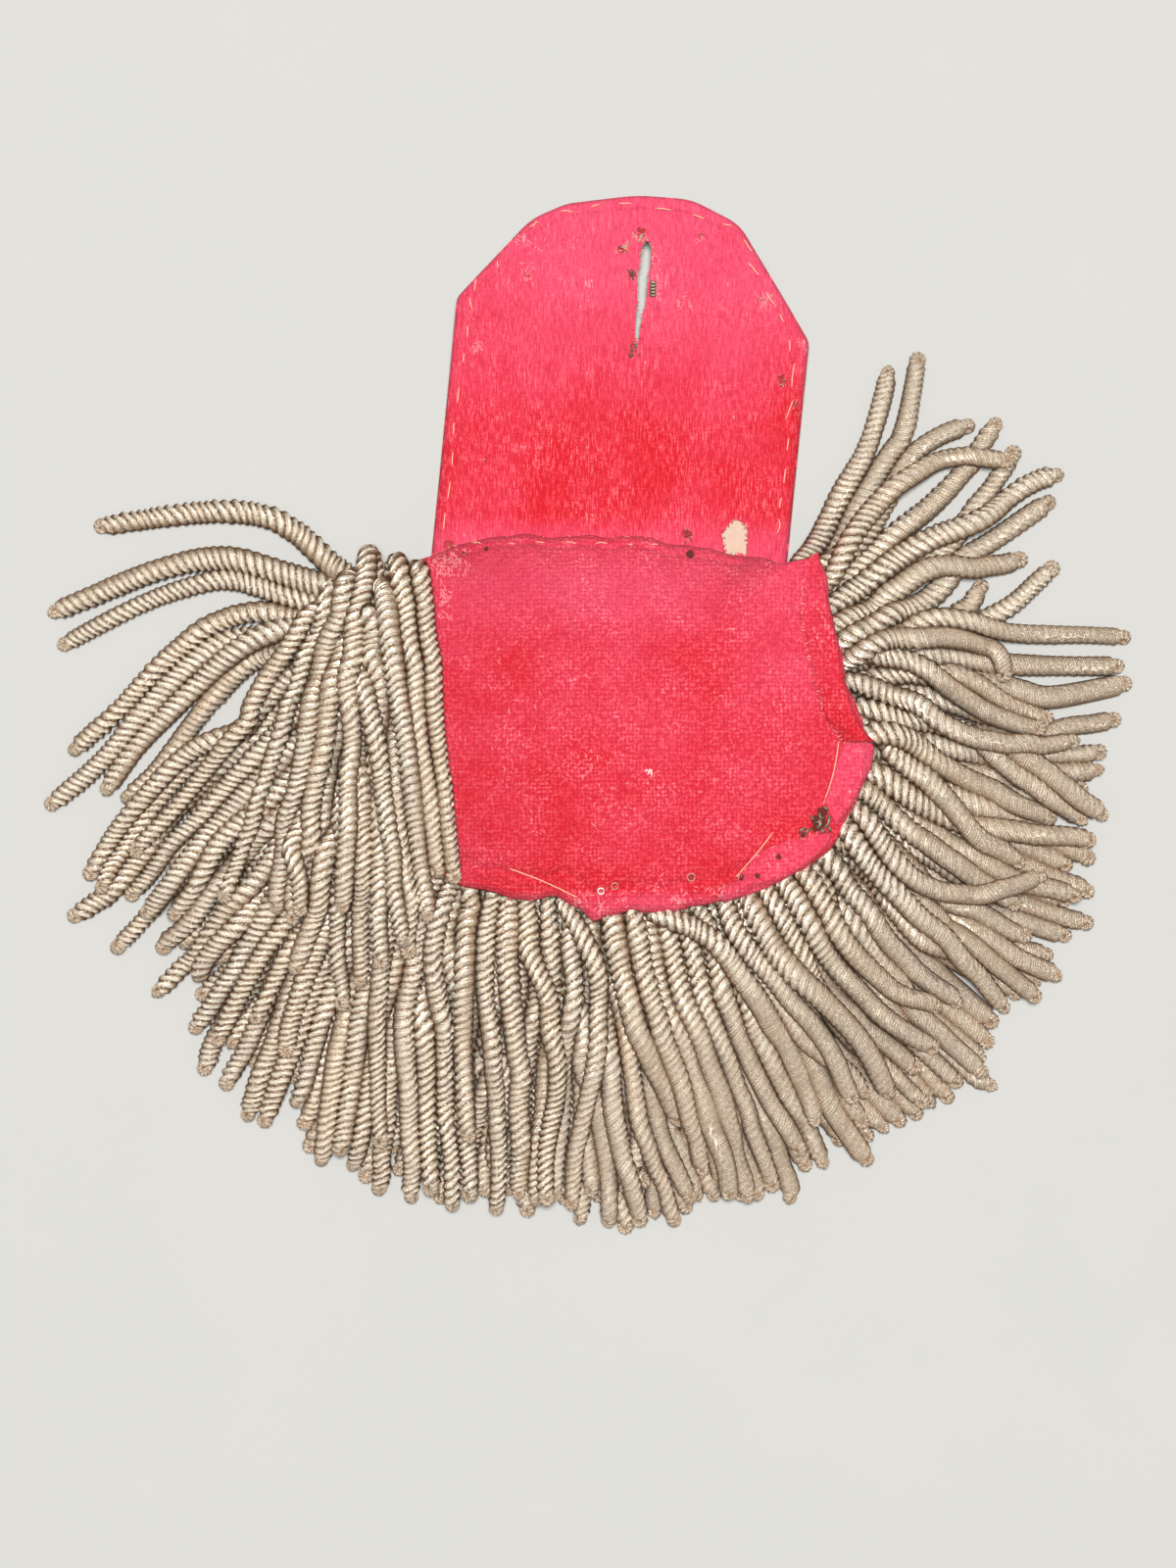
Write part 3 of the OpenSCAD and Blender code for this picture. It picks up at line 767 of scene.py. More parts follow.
# Colours of the cloth: red, pink, painted highlight of its raised threads, worn threads, painted shade of
# its hollows and of the pad's left, and dirty holes, also painted as shadow under the swept strands
CLOTH_RED = (0.368, 0.0065, 0.0125)
CLOTH_PINK = (0.447, 0.04, 0.084)
CLOTH_LIGHT = (0.60, 0.10, 0.13)
CLOTH_WORN = (0.6, 0.265, 0.265)
CLOTH_DARK = (0.253, 0.008, 0.013)
CLOTH_HOLE_AND_SHADOW = (0.044, 0.013, 0.008)

# Dirty holes, with painted shadow where the lining shows between the swept strands, and pale worn places of
# the cloth: px, radius in mm
HOLES_AND_SHADOW_SPOTS = [
    (836,829, 1.0), (833,838, 1.4), (830,845, 0.8), (817,852, 0.6), (792,873, 0.5), (771,893, 0.5),
    (754,894, 0.55), (704,567, 0.8), (634,257, 0.55), (644,283, 0.45), (474,566, 0.3), (497,562, 0.4),
    # From here on: painted shadow where the lining shows between the swept strands
    (397,591, 2.4), (402,640, 3.6), (411,669, 2.6), (398,700, 4.4), (402,760, 4.6), (412,820, 4.4),
    (425,870, 3.8), (418,600, 2.6)]
PALE_SPOTS = [
    (452,578, 2.4), (466,574, 1.6), (533,248, 1.6), (674,310, 0.9), (782,308, 1.6), (819,355, 1.6),
    (814,423, 1.2), (600,292, 1.2), (743,293, 0.6), (705,316, 0.7), (669,270, 0.7), (455,615, 1.3),
    (486,356, 0.6), (613,925, 1.6), (560,268, 0.8), (641,250, 0.9), (735,912, 1.0), (700,552, 0.8),
    (590,922, 1.5), (690,918, 1.4)]

# The weave of the plain cloth has a thread every 0.72 mm
THREAD_TURN = math.pi / 0.72

# How pink the red cloth is at heights up the photo, y in mm and share of pink: painted light and shade, pink
# on lit slopes such as the pad's upper edge and its rolled bottom edge, deep red in the shaded hollows at
# the foot of the strap and above the roll
PINK_LIGHT_AND_SHADE = [(-40, 1.0), (-33.5, 0.75), (-31.5, 0.15), (-20, 0.25), (-5, 0.4), (12, 0.5), (24, 0.9), (33, 0.7),
        (37, 0.15), (46, 0.0), (54, 0.12), (66, 0.6), (78, 0.95), (95, 1.1)]


def near_spots(at, spots):
    """How far a point is outside the nearest of some round places, below zero within it."""
    flat = at.vector("MULTIPLY", (1, 1, 0))
    nearest = None
    for x, y, r in spots:
        outside = flat.vector("DISTANCE", (*place(x, y), 0), "Value") - r
        nearest = nearest.math("MINIMUM", outside) if nearest else outside
    return nearest


def cloth_material(name, ribbed, pinker=0.0, shade=0.0):
    """Red wool cloth, pinker or redder by height as painted light and shade, with painted highlight on its
    weave's raised threads and painted shade in its hollows and towards the pad's left, pale worn threads,
    dirty holes and painted shadow under the swept strands.
    """
    mat, shader, at = new_material(name, {
        "Roughness": 0.9, "Specular IOR Level": 0.1,
        "Sheen Weight": 0.05, "Sheen Roughness": 0.5, "Sheen Tint": (1.0, 0.55, 0.6, 1)})
    x, y, _ = at.parts()
    # Pink on lit slopes, deep red in shaded hollows: painted light and shade by height
    low, high = PINK_LIGHT_AND_SHADE[0][0], PINK_LIGHT_AND_SHADE[-1][0]
    curve = add(at.tree, "ShaderNodeValToRGB", {0: y.ramp(low, high)})
    stops = curve.socket.node.color_ramp.elements
    stops.remove(stops[1])
    for k, (up, share) in enumerate(PINK_LIGHT_AND_SHADE):
        stop = stops.new((up - low) / (high - low)) if k else stops[0]
        stop.color = (share, share, share, 1)
    pinkness = curve.math("ADD", noise(at, 0.06, 4.0) * 1.4 + (pinker - 0.7), clamp=True)
    if ribbed:
        rib = noise(at.vector("MULTIPLY", (3.8, 0.5, 1)), 1.0, 2.0, 0.7)
        cross = noise(at.vector("MULTIPLY", (1.4, 2.8, 1)), 1.0, 2.0, 0.7)
        weave = rib * 0.7 + cross * 0.3
    else:
        warp = add(at.tree, "ShaderNodeTexNoise", {"Vector": at, "Scale": 0.5, "Detail": 2.0}, "Color")
        across, along, _ = at.vector("ADD", warp).parts()
        lines = [(part * THREAD_TURN).math("SINE").math("ABSOLUTE") for part in (across, along)]
        weave = lines[0] * lines[1] * 0.12 + noise(at, 1.5, 3.0, 0.75) * 0.92
    patches = noise(at, 0.13, 3.0, 0.6)
    ragged_at = noise(at, 0.9, 3.0, 0.7) * 2.4 - 1.2
    pale = (near_spots(at, PALE_SPOTS) + ragged_at).ramp(0.5, -0.9)
    worn = patches.ramp(0.52, 0.66).math("MAXIMUM", pale)
    # Dirty holes, and painted shadow under the swept strands
    holes_and_shadow = (ragged_at * 0.4 + near_spots(at, HOLES_AND_SHADOW_SPOTS)).ramp(0.15, -0.15)
    layers = [
        # Painted highlight on the raised threads of the weave
        (weave.ramp(0.48, 0.66) * patches.ramp(0.30, 0.65, 0.3, 0.85), CLOTH_LIGHT),
        ((pale * 0.12 + weave).ramp(0.60, 0.70) * worn * 0.75, CLOTH_WORN),
        # Painted shade in the hollows of the weave
        (weave.ramp(0.47, 0.30) * 0.5, CLOTH_DARK),
        (holes_and_shadow * 0.9, CLOTH_HOLE_AND_SHADOW)]
    if shade:
        layers.insert(3, (x.ramp(-24, 4, shade * 2.6, shade), CLOTH_DARK))
    base = pinkness.mix(CLOTH_RED, CLOTH_PINK)
    for share, colour in layers:
        base = share.mix(base, colour)
    dress(shader, base, weave, 0.38)
    return mat


def plain_material(name, colour, dark, scale, roughness, metallic=0.0, height=0.1):
    """A surface of one kind with soft changes of colour and a fine grain."""
    mat, shader, at = new_material(name, {"Roughness": roughness, "Metallic": metallic})
    grain = noise(at, scale, 4.0)
    dress(shader, grain.ramp(0.3, 0.7).mix(dark, colour), grain, height)
    return mat


def thread_material(name, colour, dark, roughness=0.9, height=0.02):
    return plain_material(name, colour, dark, 3.0, roughness, height=height)


def lace_material():
    """Silver lace: flat metal threads woven over and under each other."""
    mat, shader, at = new_material("silver_lace_weave", {"Roughness": 0.38, "Metallic": 0.8})
    x, y, _ = at.parts()
    weave = (x * 7.0).math("SINE") * (y * 3.5).math("SINE")
    base = noise(at, 0.1, 4.0).ramp(0.35, 0.7).mix(SILVER_LIT, SILVER_AGED)
    dress(shader, weave.ramp(0.1, -0.9, 0.0, 0.6).mix(base, SILVER_DEEP_TARNISH_AND_SHADE), weave, 0.12)
    return mat


# STRAP LINING
# Width and length seen, length under the pad, lean in degrees, where the strap starts and where it bends up
STRAP_L = 64.8
STRAP_LEAN = 5.7
STRAP_ROOT = np.array([4.05, 30.4])
BEND_Y = 46.0
TIP_RISE = 5.5
# How far the seam lies from the edge, and how far apart the points of the cloth are
SEAM_INSET = 2.7
GRID_GAP = 0.85
# Corners from the strap's root, in its own directions: across, along, radius
STRAP_CORNERS = [
    (-32.5, -6, 0), (32.5, -2.4, 0), (32.5, 41.5, 3), (26.8, 49.3, 14), (17.6, 61.4, 8), (8.4, 65, 12),
    (-1.5, 64.8, 30), (-14.2, 62, 10), (-20.4, 58.6, 12), (-32.5, 43.2, 3)]
# The button slit: y, x of its middle, half its width
SLIT = [(86.6, 10.85, 0.5), (85.1, 10.65, 1.0), (80.5, 10.1, 1.05), (75.9, 9.75, 0.85), (73, 9.4, 0.62),
        (71.3, 9.15, 0.5), (68.3, 8.85, 0.33), (67.0, 8.7, 0.15)]
# Small holes: x, y, radius
HOLES = [(9.7, 88.2, 0.8), (6.3, 85.3, 0.6), (20.7, 87.6, 0.35), (-10.8, 80.6, 0.35), (35.5, 61.4, 0.9),
         (38.0, 57.0, 0.7), (-18.9, 47, 0.35), (18, 33.5, 0.8), (-25.4, 31.2, 0.9), (31.5, 76.1, 0.35)]
# The tear that bares the card, in px
TEAR = [(748, 529.6), (752, 530.8), (757, 533.7), (761.4, 536), (762.7, 545.5), (762, 558.3), (761, 567),
        (739.7, 567), (737.8, 558.3), (737.2, 552), (735.4, 546.8), (735.9, 543.6), (740.4, 540.7),
        (742.3, 537.2), (744.8, 532.8)]


def rise(y):
    """How far the strap has curved up at a distance along it."""
    run = STRAP_ROOT[1] + STRAP_L - BEND_Y
    radius = (run * run + TIP_RISE * TIP_RISE) / (2 * TIP_RISE)
    past = np.clip(np.asarray(y, float) - BEND_Y, 0, radius * 0.9)
    return radius - np.sqrt(radius * radius - past * past)


def rounded(corners, steps=6):
    """An outline with an arc at each of its corners."""
    points = []
    for k, (*here, r) in enumerate(corners):
        here = np.array(here, float)
        if r == 0:
            points.append(here)
            continue
        u, v = (unit(np.array(corners[(k + step) % len(corners)][:2]) - here) for step in (-1, 1))
        half = math.acos(float(u @ v)) / 2
        middle = here + unit(u + v) * r / math.sin(half)
        start = here + u * r / math.tan(half) - middle
        turn = np.sign(u[0] * v[1] - u[1] * v[0]) * -(math.pi - 2 * half)
        points += [middle + turned(start, turn * i / steps) for i in range(steps + 1)]
    return np.array(points)


def turned(xy, angle):
    c, s = math.cos(angle), math.sin(angle)
    return np.stack([xy[..., 0] * c - xy[..., 1] * s, xy[..., 0] * s + xy[..., 1] * c], -1)


def closed_steps(loop, gap):
    """A closed outline with its points a given distance apart."""
    ring = np.vstack([loop, loop[:1]])
    return resample(ring, int(length_of(ring) / gap) + 1)[:-1]


def signed_area(loop):
    ahead = np.roll(loop, -1, axis=0)
    return (loop[:, 0] * ahead[:, 1] - loop[:, 1] * ahead[:, 0]).sum() / 2


def inward(loop, inset):
    """A closed outline moved inward, for one that turns gently."""
    way = unit(np.roll(loop, -1, axis=0) - np.roll(loop, 1, axis=0))
    return loop + np.column_stack([-way[:, 1], way[:, 0]]) * np.sign(signed_area(loop)) * inset


def inside(points, loop):
    """Which points lie inside a closed outline."""
    x, y = points.T[..., None]
    (x0, y0), (x1, y1) = loop.T, np.roll(loop, -1, axis=0).T
    at = x0 + (y - y0) * (x1 - x0) / np.where(y1 == y0, 1e-9, y1 - y0)
    return (((y0 > y) != (y1 > y)) & (x < at)).sum(1) % 2 == 1


def on_cloth(points, outline, gaps):
    """Which points lie inside the outline and outside the openings."""
    return inside(points, outline) & ~np.any([inside(points, gap) for gap in gaps], axis=0)


def distance_to(points, loop):
    best = np.full(len(points), 1e9)
    for a, b in zip(loop, np.roll(loop, -1, axis=0)):
        t = np.clip(((points - a) @ (b - a)) / ((b - a) @ (b - a) + 1e-12), 0, 1)
        best = np.minimum(best, np.linalg.norm(points - a - t[:, None] * (b - a), axis=1))
    return best


def ragged(centre, radius, seed, amount=0.3, count=14):
    """A rough closed outline round a point."""
    r = radius * (1 + amount * np.random.default_rng(seed).uniform(-1, 1, count))
    return centre + ray(np.linspace(0, 360, count, endpoint=False)) * r[:, None]


def openings():
    """Outlines of the slit, the small holes and the tear."""
    rng = np.random.default_rng(5)
    sides = [(x + w, y) for y, x, w in SLIT] + [(x - w, y) for y, x, w in SLIT[::-1]]
    slit = closed_steps(np.array(sides), 0.5)
    slit[:, 0] += rng.normal(0, 0.05, len(slit))
    holes = [ragged(np.array(at), r, 40 + k) for k, (*at, r) in enumerate(HOLES)]
    tear = closed_steps(places(TEAR), 0.5)
    return [slit, *holes, tear + rng.normal(0, 0.05, tear.shape)]


def lining_net(outline, gaps):
    """Points in plan and triangles of the strap's lining, with points along its edges and seam."""
    rings = [inward(outline, inset) for inset in (0.5, 0.6, 1.1, 1.7, 2.3, SEAM_INSET, 3.1, 3.7)]
    rings += [gap + unit(gap - gap.mean(0)) * 0.35 for gap in gaps]
    (left, lowest), (right, highest) = outline.min(0), outline.max(0)
    rows = []
    for k, y in enumerate(np.arange(lowest, highest, GRID_GAP * 0.866)):
        xs = np.arange(left + (k % 2) * GRID_GAP / 2, right, GRID_GAP)
        rows.append(np.column_stack([xs, np.full(len(xs), y)]))
    grid, rings = (p[on_cloth(p, outline, gaps)] for p in map(np.concatenate, (rows, rings)))
    grid = grid[distance_to(grid, outline) > 4.1]
    for gap in gaps:
        grid = grid[distance_to(grid, gap) > 0.7]
    points, edges = [], []
    for loop in (outline, *gaps):
        edges += [(len(points) + k, len(points) + (k + 1) % len(loop)) for k in range(len(loop))]
        points += list(loop)
    out = delaunay_2d_cdt([Vector(p) for p in (*points, *rings, *grid)], edges, [], 0, 1e-5)
    flat, tri = np.array([tuple(v) for v in out[0]]), np.array(out[2])
    tri = tri[on_cloth(flat[tri].mean(1), outline, gaps)]
    used, tri = np.unique(tri, return_inverse=True)
    return flat[used], tri.reshape(-1, 3)


def strap_lining(material):
    """The strap's lining on its board, rounded at the edge and drawn in along the seam."""
    outline = closed_steps(turned(rounded(STRAP_CORNERS), math.radians(-STRAP_LEAN)) + STRAP_ROOT, 0.8)
    gaps = openings()
    flat, tri = lining_net(outline, gaps)
    d = distance_to(flat, outline)
    lift = rise(flat[:, 1])
    top = LINING_Z + CLOTH_T + lift + 0.16 * waves(flat, 3, 22) + 0.05 * waves(flat, 4, 4)
    top -= 1.35 * round_off(d / SEAM_INSET)
    pull = np.sin(flat[:, 0] * 1.3 + flat[:, 1] * 1.1)
    top -= (0.46 + 0.08 * pull) * bell(d, SEAM_INSET, 0.36)
    top += 0.2 * bell(d, 1.7, 0.7) + 0.16 * bell(d, 4.2, 1.1)
    rough = 0.22 * waves(flat, 8, 1.6, 1)
    for gap in gaps:
        top += rough * bell(distance_to(flat, gap), 0, 0.5)
    bottom = np.where(d < 0.55, 1.35, LINING_Z) + lift
    top = np.maximum(top, bottom + 0.12)
    n = len(flat)
    sides = np.concatenate([tri[:, [0, 1]], tri[:, [1, 2]], tri[:, [2, 0]]])
    _, first, times = np.unique(np.sort(sides, axis=1) @ (n, 1), return_index=True, return_counts=True)
    a, b = sides[first[times == 1]].T
    points = np.concatenate([np.column_stack([flat, top]), np.column_stack([flat, bottom])])
    wall = np.column_stack([b, a, a + n, b + n])
    obj = mesh_piece("strap_cloth", points, [tri, tri[:, ::-1] + n, wall], material)
    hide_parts("strap_lining")
    area = abs(signed_area(outline)) * MM * MM
    return outline


# CRESCENT PAD
# Corners and hollows of the rim: angle, how far it stands out, width in degrees
RIM_CORNERS = [(252, -1.5, 5), (264.5, 1.7, 3.2), (276, -0.7, 5), (315, -0.8, 5), (44.5, -2.8, 3.2),
               (50, -1.2, 4)]


def pad_edge(a):
    """The lining's rim, a little rough."""
    t = np.radians(a)
    turn = np.asarray(a, float) % 360
    corner = sum(size * bell(turn, at, width) for at, size, width in RIM_CORNERS)
    rough = 0.25 * np.sin(9 * t + 1) + 0.15 * np.sin(23 * t) + 0.1 * np.sin(41 * t + 2)
    return soft_edge(a, 1.5) + corner + rough


def between(a, first, last, soft):
    """1 between two angles of the rim and 0 elsewhere, with soft ends."""
    return ease((a - first) / soft) * ease((last - a) / soft)


def lining_surface(xy):
    """Height of the padded lining's upper side."""
    a, r = polar(xy)
    x, y = xy[..., 0], xy[..., 1]
    rim = pad_edge(a)
    t = np.clip(r / rim, 0, 1)
    inset = np.clip(rim - r, 0, None)
    near = sum(under_z(a + turn) for turn in range(-36, 37, 12)) / 7
    under = near + (under_z(a) - near) * t ** 6
    z = CROWN_Z + (under + RIM_T - CROWN_Z) * t * t
    z += 0.35 * waves(xy, 21, 26) * (1 - t ** 4) + 0.10 * waves(xy, 22, 5)
    rolled_hem = between(a, 208, 322, 10)
    z += rolled_hem * (0.75 * bell(inset, 1.7, 1.0) - 0.8 * bell(inset, 4.4, 1.3))
    seam = between(a, 48, 134, 6) * (0.375 + 0.125 * np.sin(x * 1.14 + 0.6))
    z -= seam * bell(inset, 1.9, 0.5)
    z -= 0.8 * bell(x, -22, 5) * bell(y, -24, 9)
    return z - 0.95 * round_off(inset / 1.2)


def padded_lining(material):
    angles = np.linspace(0, 360, 360, endpoint=False)
    shares = np.r_[np.linspace(0.02, 0.86, 44), np.linspace(0.875, 1.0, 16)]
    rim = pad_edge(angles)[:, None]
    xy = PAD_AT + ray(angles) * (rim * shares[:, None, None])
    rings = [np.concatenate([xy, lining_surface(xy)[..., None]], axis=-1)]
    under, floor = under_z(angles) + 0.05, np.full(len(angles), BOARD_TOP + 0.2)
    for inset, z in ((0.1, under), (1.5, under), (8, under), (8, floor)):
        rings.append(np.column_stack([PAD_AT + ray(angles) * (rim - inset), z])[None])
    rings = np.concatenate(rings)
    m, n = rings.shape[:2]
    middles = [[*PAD_AT, lining_surface(PAD_AT[None])[0]], [*PAD_AT, floor[0]]]
    turn, last, middle = np.arange(n), (m - 1) * n, m * n
    after = (turn + 1) % n
    caps = [np.stack([np.full(n, middle), turn, after], 1),
            np.stack([np.full(n, middle + 1), last + after, last + turn], 1)]
    points = np.concatenate([rings.reshape(-1, 3), middles])
    obj = mesh_piece("padded_lining", points, [cells(m, n), *caps], material)
    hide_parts("crescent_pad")


# Turned pieces of the hem, each a row of places from end to end: outer px, inner px, height above the lining
FLAP = [(833,566, 826,569, 0.2), (837,590, 818,592, 0.4), (845,622, 815,618, 0.8), (852,655, 817,644, 1.3),
        (859,695, 823,676, 1.6), (865,718, 832,706, 1.8), (873,738, 838,728, 2.3), (881,749, 847,744, 3.1),
        (889,757, 858,757, 3.8)]
# The flap's lower end, which only gets frayed threads
FLAP_END = [(859,746, 859,757, 3.6), (872,744, 872,758, 3.8), (887,746, 888,757, 3.9)]
SECOND_PIECE = [(884,752, 862,752, 0.7), (889,764, 855,762, 0.9), (886,784, 850,780, 1.0),
                (874,810, 844,800, 1.0), (862,828, 839,818, 0.9), (851,843, 842,826, 0.7)]
LOWER_HEM = [(847,849, 833,850, 0.8), (842,862, 812,856, 1.0), (832,873, 795,860, 1.1),
             (816,886, 780,866, 1.1), (797,897, 768,874, 1.1), (776,907, 759,886, 1.0),
             (756,914, 748,898, 0.9), (736,920, 732,906, 0.7)]


def hem_lines(rows, count):
    """The outer and the inner edge of a turned piece and its height, at even steps."""
    outer, inner = (resample(places((row[k], row[k + 1]) for row in rows), count) for k in (0, 2))
    above = np.interp(np.linspace(0, len(rows) - 1, count), np.arange(len(rows)), [row[4] for row in rows])
    return outer, inner, above


def slab(top, bottom):
    """Points and faces of a closed slab between two grids of points."""
    m, n = top.shape[:2]
    upper = cells(m, n, closed=False)
    rim = np.concatenate([np.arange(n), np.arange(1, m) * n + n - 1, (m - 1) * n + np.arange(n - 2, -1, -1),
                          np.arange(m - 2, 0, -1) * n])
    after = np.roll(rim, -1)
    wall = np.stack([rim, after, after + m * n, rim + m * n], 1)
    return np.concatenate([top.reshape(-1, 3), bottom.reshape(-1, 3)]), [upper, upper[:, ::-1] + m * n, wall]


def hem_piece(name, rows, material, curl, rough, seed):
    """A turned strip of the hem, with a rough inner edge and a rolled outer one."""
    across, thick, fine = 14, 0.75, 6
    outer, inner, above = hem_lines(rows, (len(rows) - 1) * fine + 1)
    random = np.random.default_rng(seed).uniform(-1, 1, len(inner) + 2)
    inner += unit(outer - inner) * (np.convolve(random, [0.3, 0.5, 0.3], "valid") * rough)[:, None]
    t = np.linspace(0, 1, across)
    xy = inner[:, None] + (outer - inner)[:, None] * t[:, None]
    z = lining_surface(xy) + above[:, None] * (0.35 + 0.65 * np.sin(np.clip(t * 1.25, 0, 1) * np.pi / 2))
    z += 0.12 * waves(xy, seed, 6) + curl * bell(t, 0.9, 0.16) - 0.9 * np.clip((t - 0.86) / 0.14, 0, 1) ** 2
    top = np.concatenate([xy, z[..., None]], -1)
    bottom = top.copy()
    bottom[..., 2] -= thick * (0.55 + 0.45 * np.sin(np.pi * np.clip(t, 0.05, 0.95)))
    obj = mesh_piece(name, *slab(top, bottom), material)
    width = float(np.linalg.norm(outer - inner, axis=1).mean()) * MM
    length = float(length_of((outer + inner) / 2)) * MM


# THREADS
# Loose threads: px of both ends, sag to one side in mm
LOOSE_THREADS = [(853,756, 837,821, 0.4), (787,848, 748,895, 0.15), (520,885, 590,915, 0.3)]

# Running stitches of the lining's edge and seam: px of both ends
STITCHES = [
    (508,269, 509,277), (487,287, 485,300), (480,305, 483,319), (477,334, 477,347), (474,362, 473,372),
    (469,396, 467,414), (464,431, 463,446), (463,461, 462,477), (460,492, 457,511), (455,523, 453,542),
    (540,236, 549,230), (572,220, 585,221), (603,216, 612,213), (631,212, 644,212), (668,217, 685,219),
    (706,223, 718,228), (736,232, 746,234), (758,247, 767,261), (762,270, 775,285), (780,300, 790,314),
    (794,322, 799,331), (804,348, 805,361), (810,372, 807,397), (809,409, 801,430), (804,447, 802,462),
    (801,478, 799,495), (797,508, 795,520), (794,530, 792,545), (484,556, 491,556), (520,555, 526,556),
    (547,554, 556,555), (577,554, 588,556), (607,556, 620,556), (640,556, 646,556), (664,557, 671,557)]

# Worn places: thread, px of the box that the threads lie in, count of threads
WORN_PLACES = [
    ("beige", 646, 243, 660, 252, 16), ("pale", 664, 255, 674, 310, 26), ("dark", 643, 353, 652, 366, 16),
    ("dark", 640, 279, 648, 288, 12), ("beige", 628, 253, 642, 262, 10), ("pale", 710, 243, 720, 252, 9),
    ("pale", 440, 561, 480, 590, 60), ("pale", 449, 596, 462, 634, 34), ("dark", 699, 541, 706, 567, 14),
    ("pale", 690, 300, 705, 318, 12), ("pale", 480, 350, 492, 364, 12), ("pale", 530, 270, 546, 292, 14),
    ("pale", 770, 302, 790, 316, 12), ("white", 656, 784, 664, 789, 4),
    ("pale", 500, 228, 560, 262, 26), ("pale", 640, 924, 716, 937, 30),
    ("dark", 786, 869, 797, 877, 9), ("dark", 766, 888, 776, 897, 9), ("dark", 749, 889, 759, 898, 9),
    ("pale", 590, 905, 640, 938, 40), ("pale", 690, 903, 760, 925, 36), ("red", 436, 570, 448, 600, 20),
    ("pale", 815, 575, 826, 640, 16), ("pale", 600, 760, 640, 850, 18), ("pale", 500, 640, 560, 800, 22)]

# Small rings of thread at the hem: px, radius in mm, thread
KNOTS = [(613,908, 0.8, "white"), (627,903, 0.85, "beige"), (704,894, 1.0, "beige"), (704,894, 0.45, "dark")]

# Ends of wire that show at the torn hem: px of both ends, bow in mm
WIRE_ENDS = [
    (843,831, 838,844, 0.4), (834,829, 838,834, -0.5), (829,839, 835,842, 0.4), (836,844, 840,848, -0.4),
    (813,850, 819,845, 0.3), (819,852, 825,845, 0.3), (837,824, 841,827, 0.3), (826,831, 829,836, -0.4),
    (833,834, 830,845, 0.5), (841,844, 844,848, 0.3)]
# Bars of wire beside the slit, in px
BARS = dict(left=662, right=670, top=291, step=3.2, count=5)

# Radius of each kind of frayed thread
THREAD_R = {"red": 0.09, "pale": 0.10, "beige": 0.10, "dark": 0.11, "white": 0.14}


def surface_z(xy):
    """Height of the red lining seen from above."""
    a, r = polar(xy)
    return np.where(r < pad_edge(a), lining_surface(xy), LINING_Z + CLOTH_T + rise(xy[..., 1]))


def bowed(px, out, count, lift):
    """A thread's path between two places on the lining, bowed sideways and lifted in the middle."""
    start, end = place(*px[:2]), place(*px[2:])
    t = np.linspace(0, 1, count)
    side = unit(np.array([start[1] - end[1], end[0] - start[0]]))
    xy = start + (end - start) * t[:, None] + side * (out * np.sin(np.pi * t))[:, None]
    z = surface_z(xy) + lift * np.sin(np.pi * t) ** 0.7 - 0.1 * (np.abs(t - 0.5) > 0.45)
    return np.column_stack([xy, z])


def fray_threads(rng, outline):
    """Frayed threads at the openings, the hem's rough edges, the rim and the worn places."""
    found = {kind: [] for kind in THREAD_R}
    strap = inward(outline, 0.9)

    def add_thread(kind, start, way, length, height):
        t = np.linspace(0, 1, 5)[:, None]
        xy = start + way * (length * t - 0.25) + rng.normal(0, 0.10, (5, 2))
        path = np.column_stack([xy, np.broadcast_to(height(xy), 5)])
        if np.ptp(path[:, 2]) < 0.9:
            found[kind].append(path)

    for k, gap in enumerate(openings()):
        middle = gap.mean(0)
        for _ in range(40 if k in (0, len(HOLES) + 1) else 9):
            p = gap[rng.integers(len(gap))]
            way = unit(middle - p) if k else np.array([np.sign(middle[0] - p[0]), rng.normal(0, 0.6)])
            lower = rng.uniform(-0.5, 0.15)
            add_thread(rng.choice(["red", "pale", "beige"], p=[0.6, 0.25, 0.15]), p,
                       unit(way + rng.normal(0, 0.5, 2)), rng.uniform(0.35, 1.0),
                       lambda xy: LINING_Z + CLOTH_T + rise(xy[:, 1]) + lower)
    for rows, amount in ((FLAP, 130), (FLAP_END, 30), (LOWER_HEM, 60)):
        outer, inner, above = hem_lines(rows, 60)
        for _ in range(amount):
            q = rng.integers(60)
            lift = above[q] * 0.35 + rng.uniform(-0.15, 0.15)
            way = unit(unit(inner[q] - outer[q]) + rng.normal(0, 0.9, 2))
            add_thread("pale" if rng.random() < 0.25 else "red", inner[q] - 0.2 * way, way,
                       rng.uniform(0.5, 1.1), lambda xy: lining_surface(xy) + lift)
    for _ in range(110):
        a = rng.uniform(0, 360)
        height = under_z(a) + RIM_T * 0.6 + rng.uniform(-0.3, 0.3)
        add_thread("pale" if rng.random() < 0.3 else "red", PAD_AT + (pad_edge(a) - 0.3) * ray(a),
                   unit(rng.normal(0, 1, 2)), rng.uniform(0.5, 1.3), lambda xy: height)
    for kind, x0, y0, x1, y1, amount in WORN_PLACES:
        for _ in range(amount):
            p = place(rng.uniform(x0, x1), rng.uniform(y0, y1))
            lift = rng.uniform(0.0, 0.12)
            a, r = polar(p)
            if r < pad_edge(a) - 0.6 or inside(p[None], strap)[0]:
                add_thread(kind, p, unit(rng.normal(0, 1, 2) * (0.5, 1.0)), rng.uniform(0.4, 1.2),
                           lambda xy: surface_z(xy) + lift)
    return found


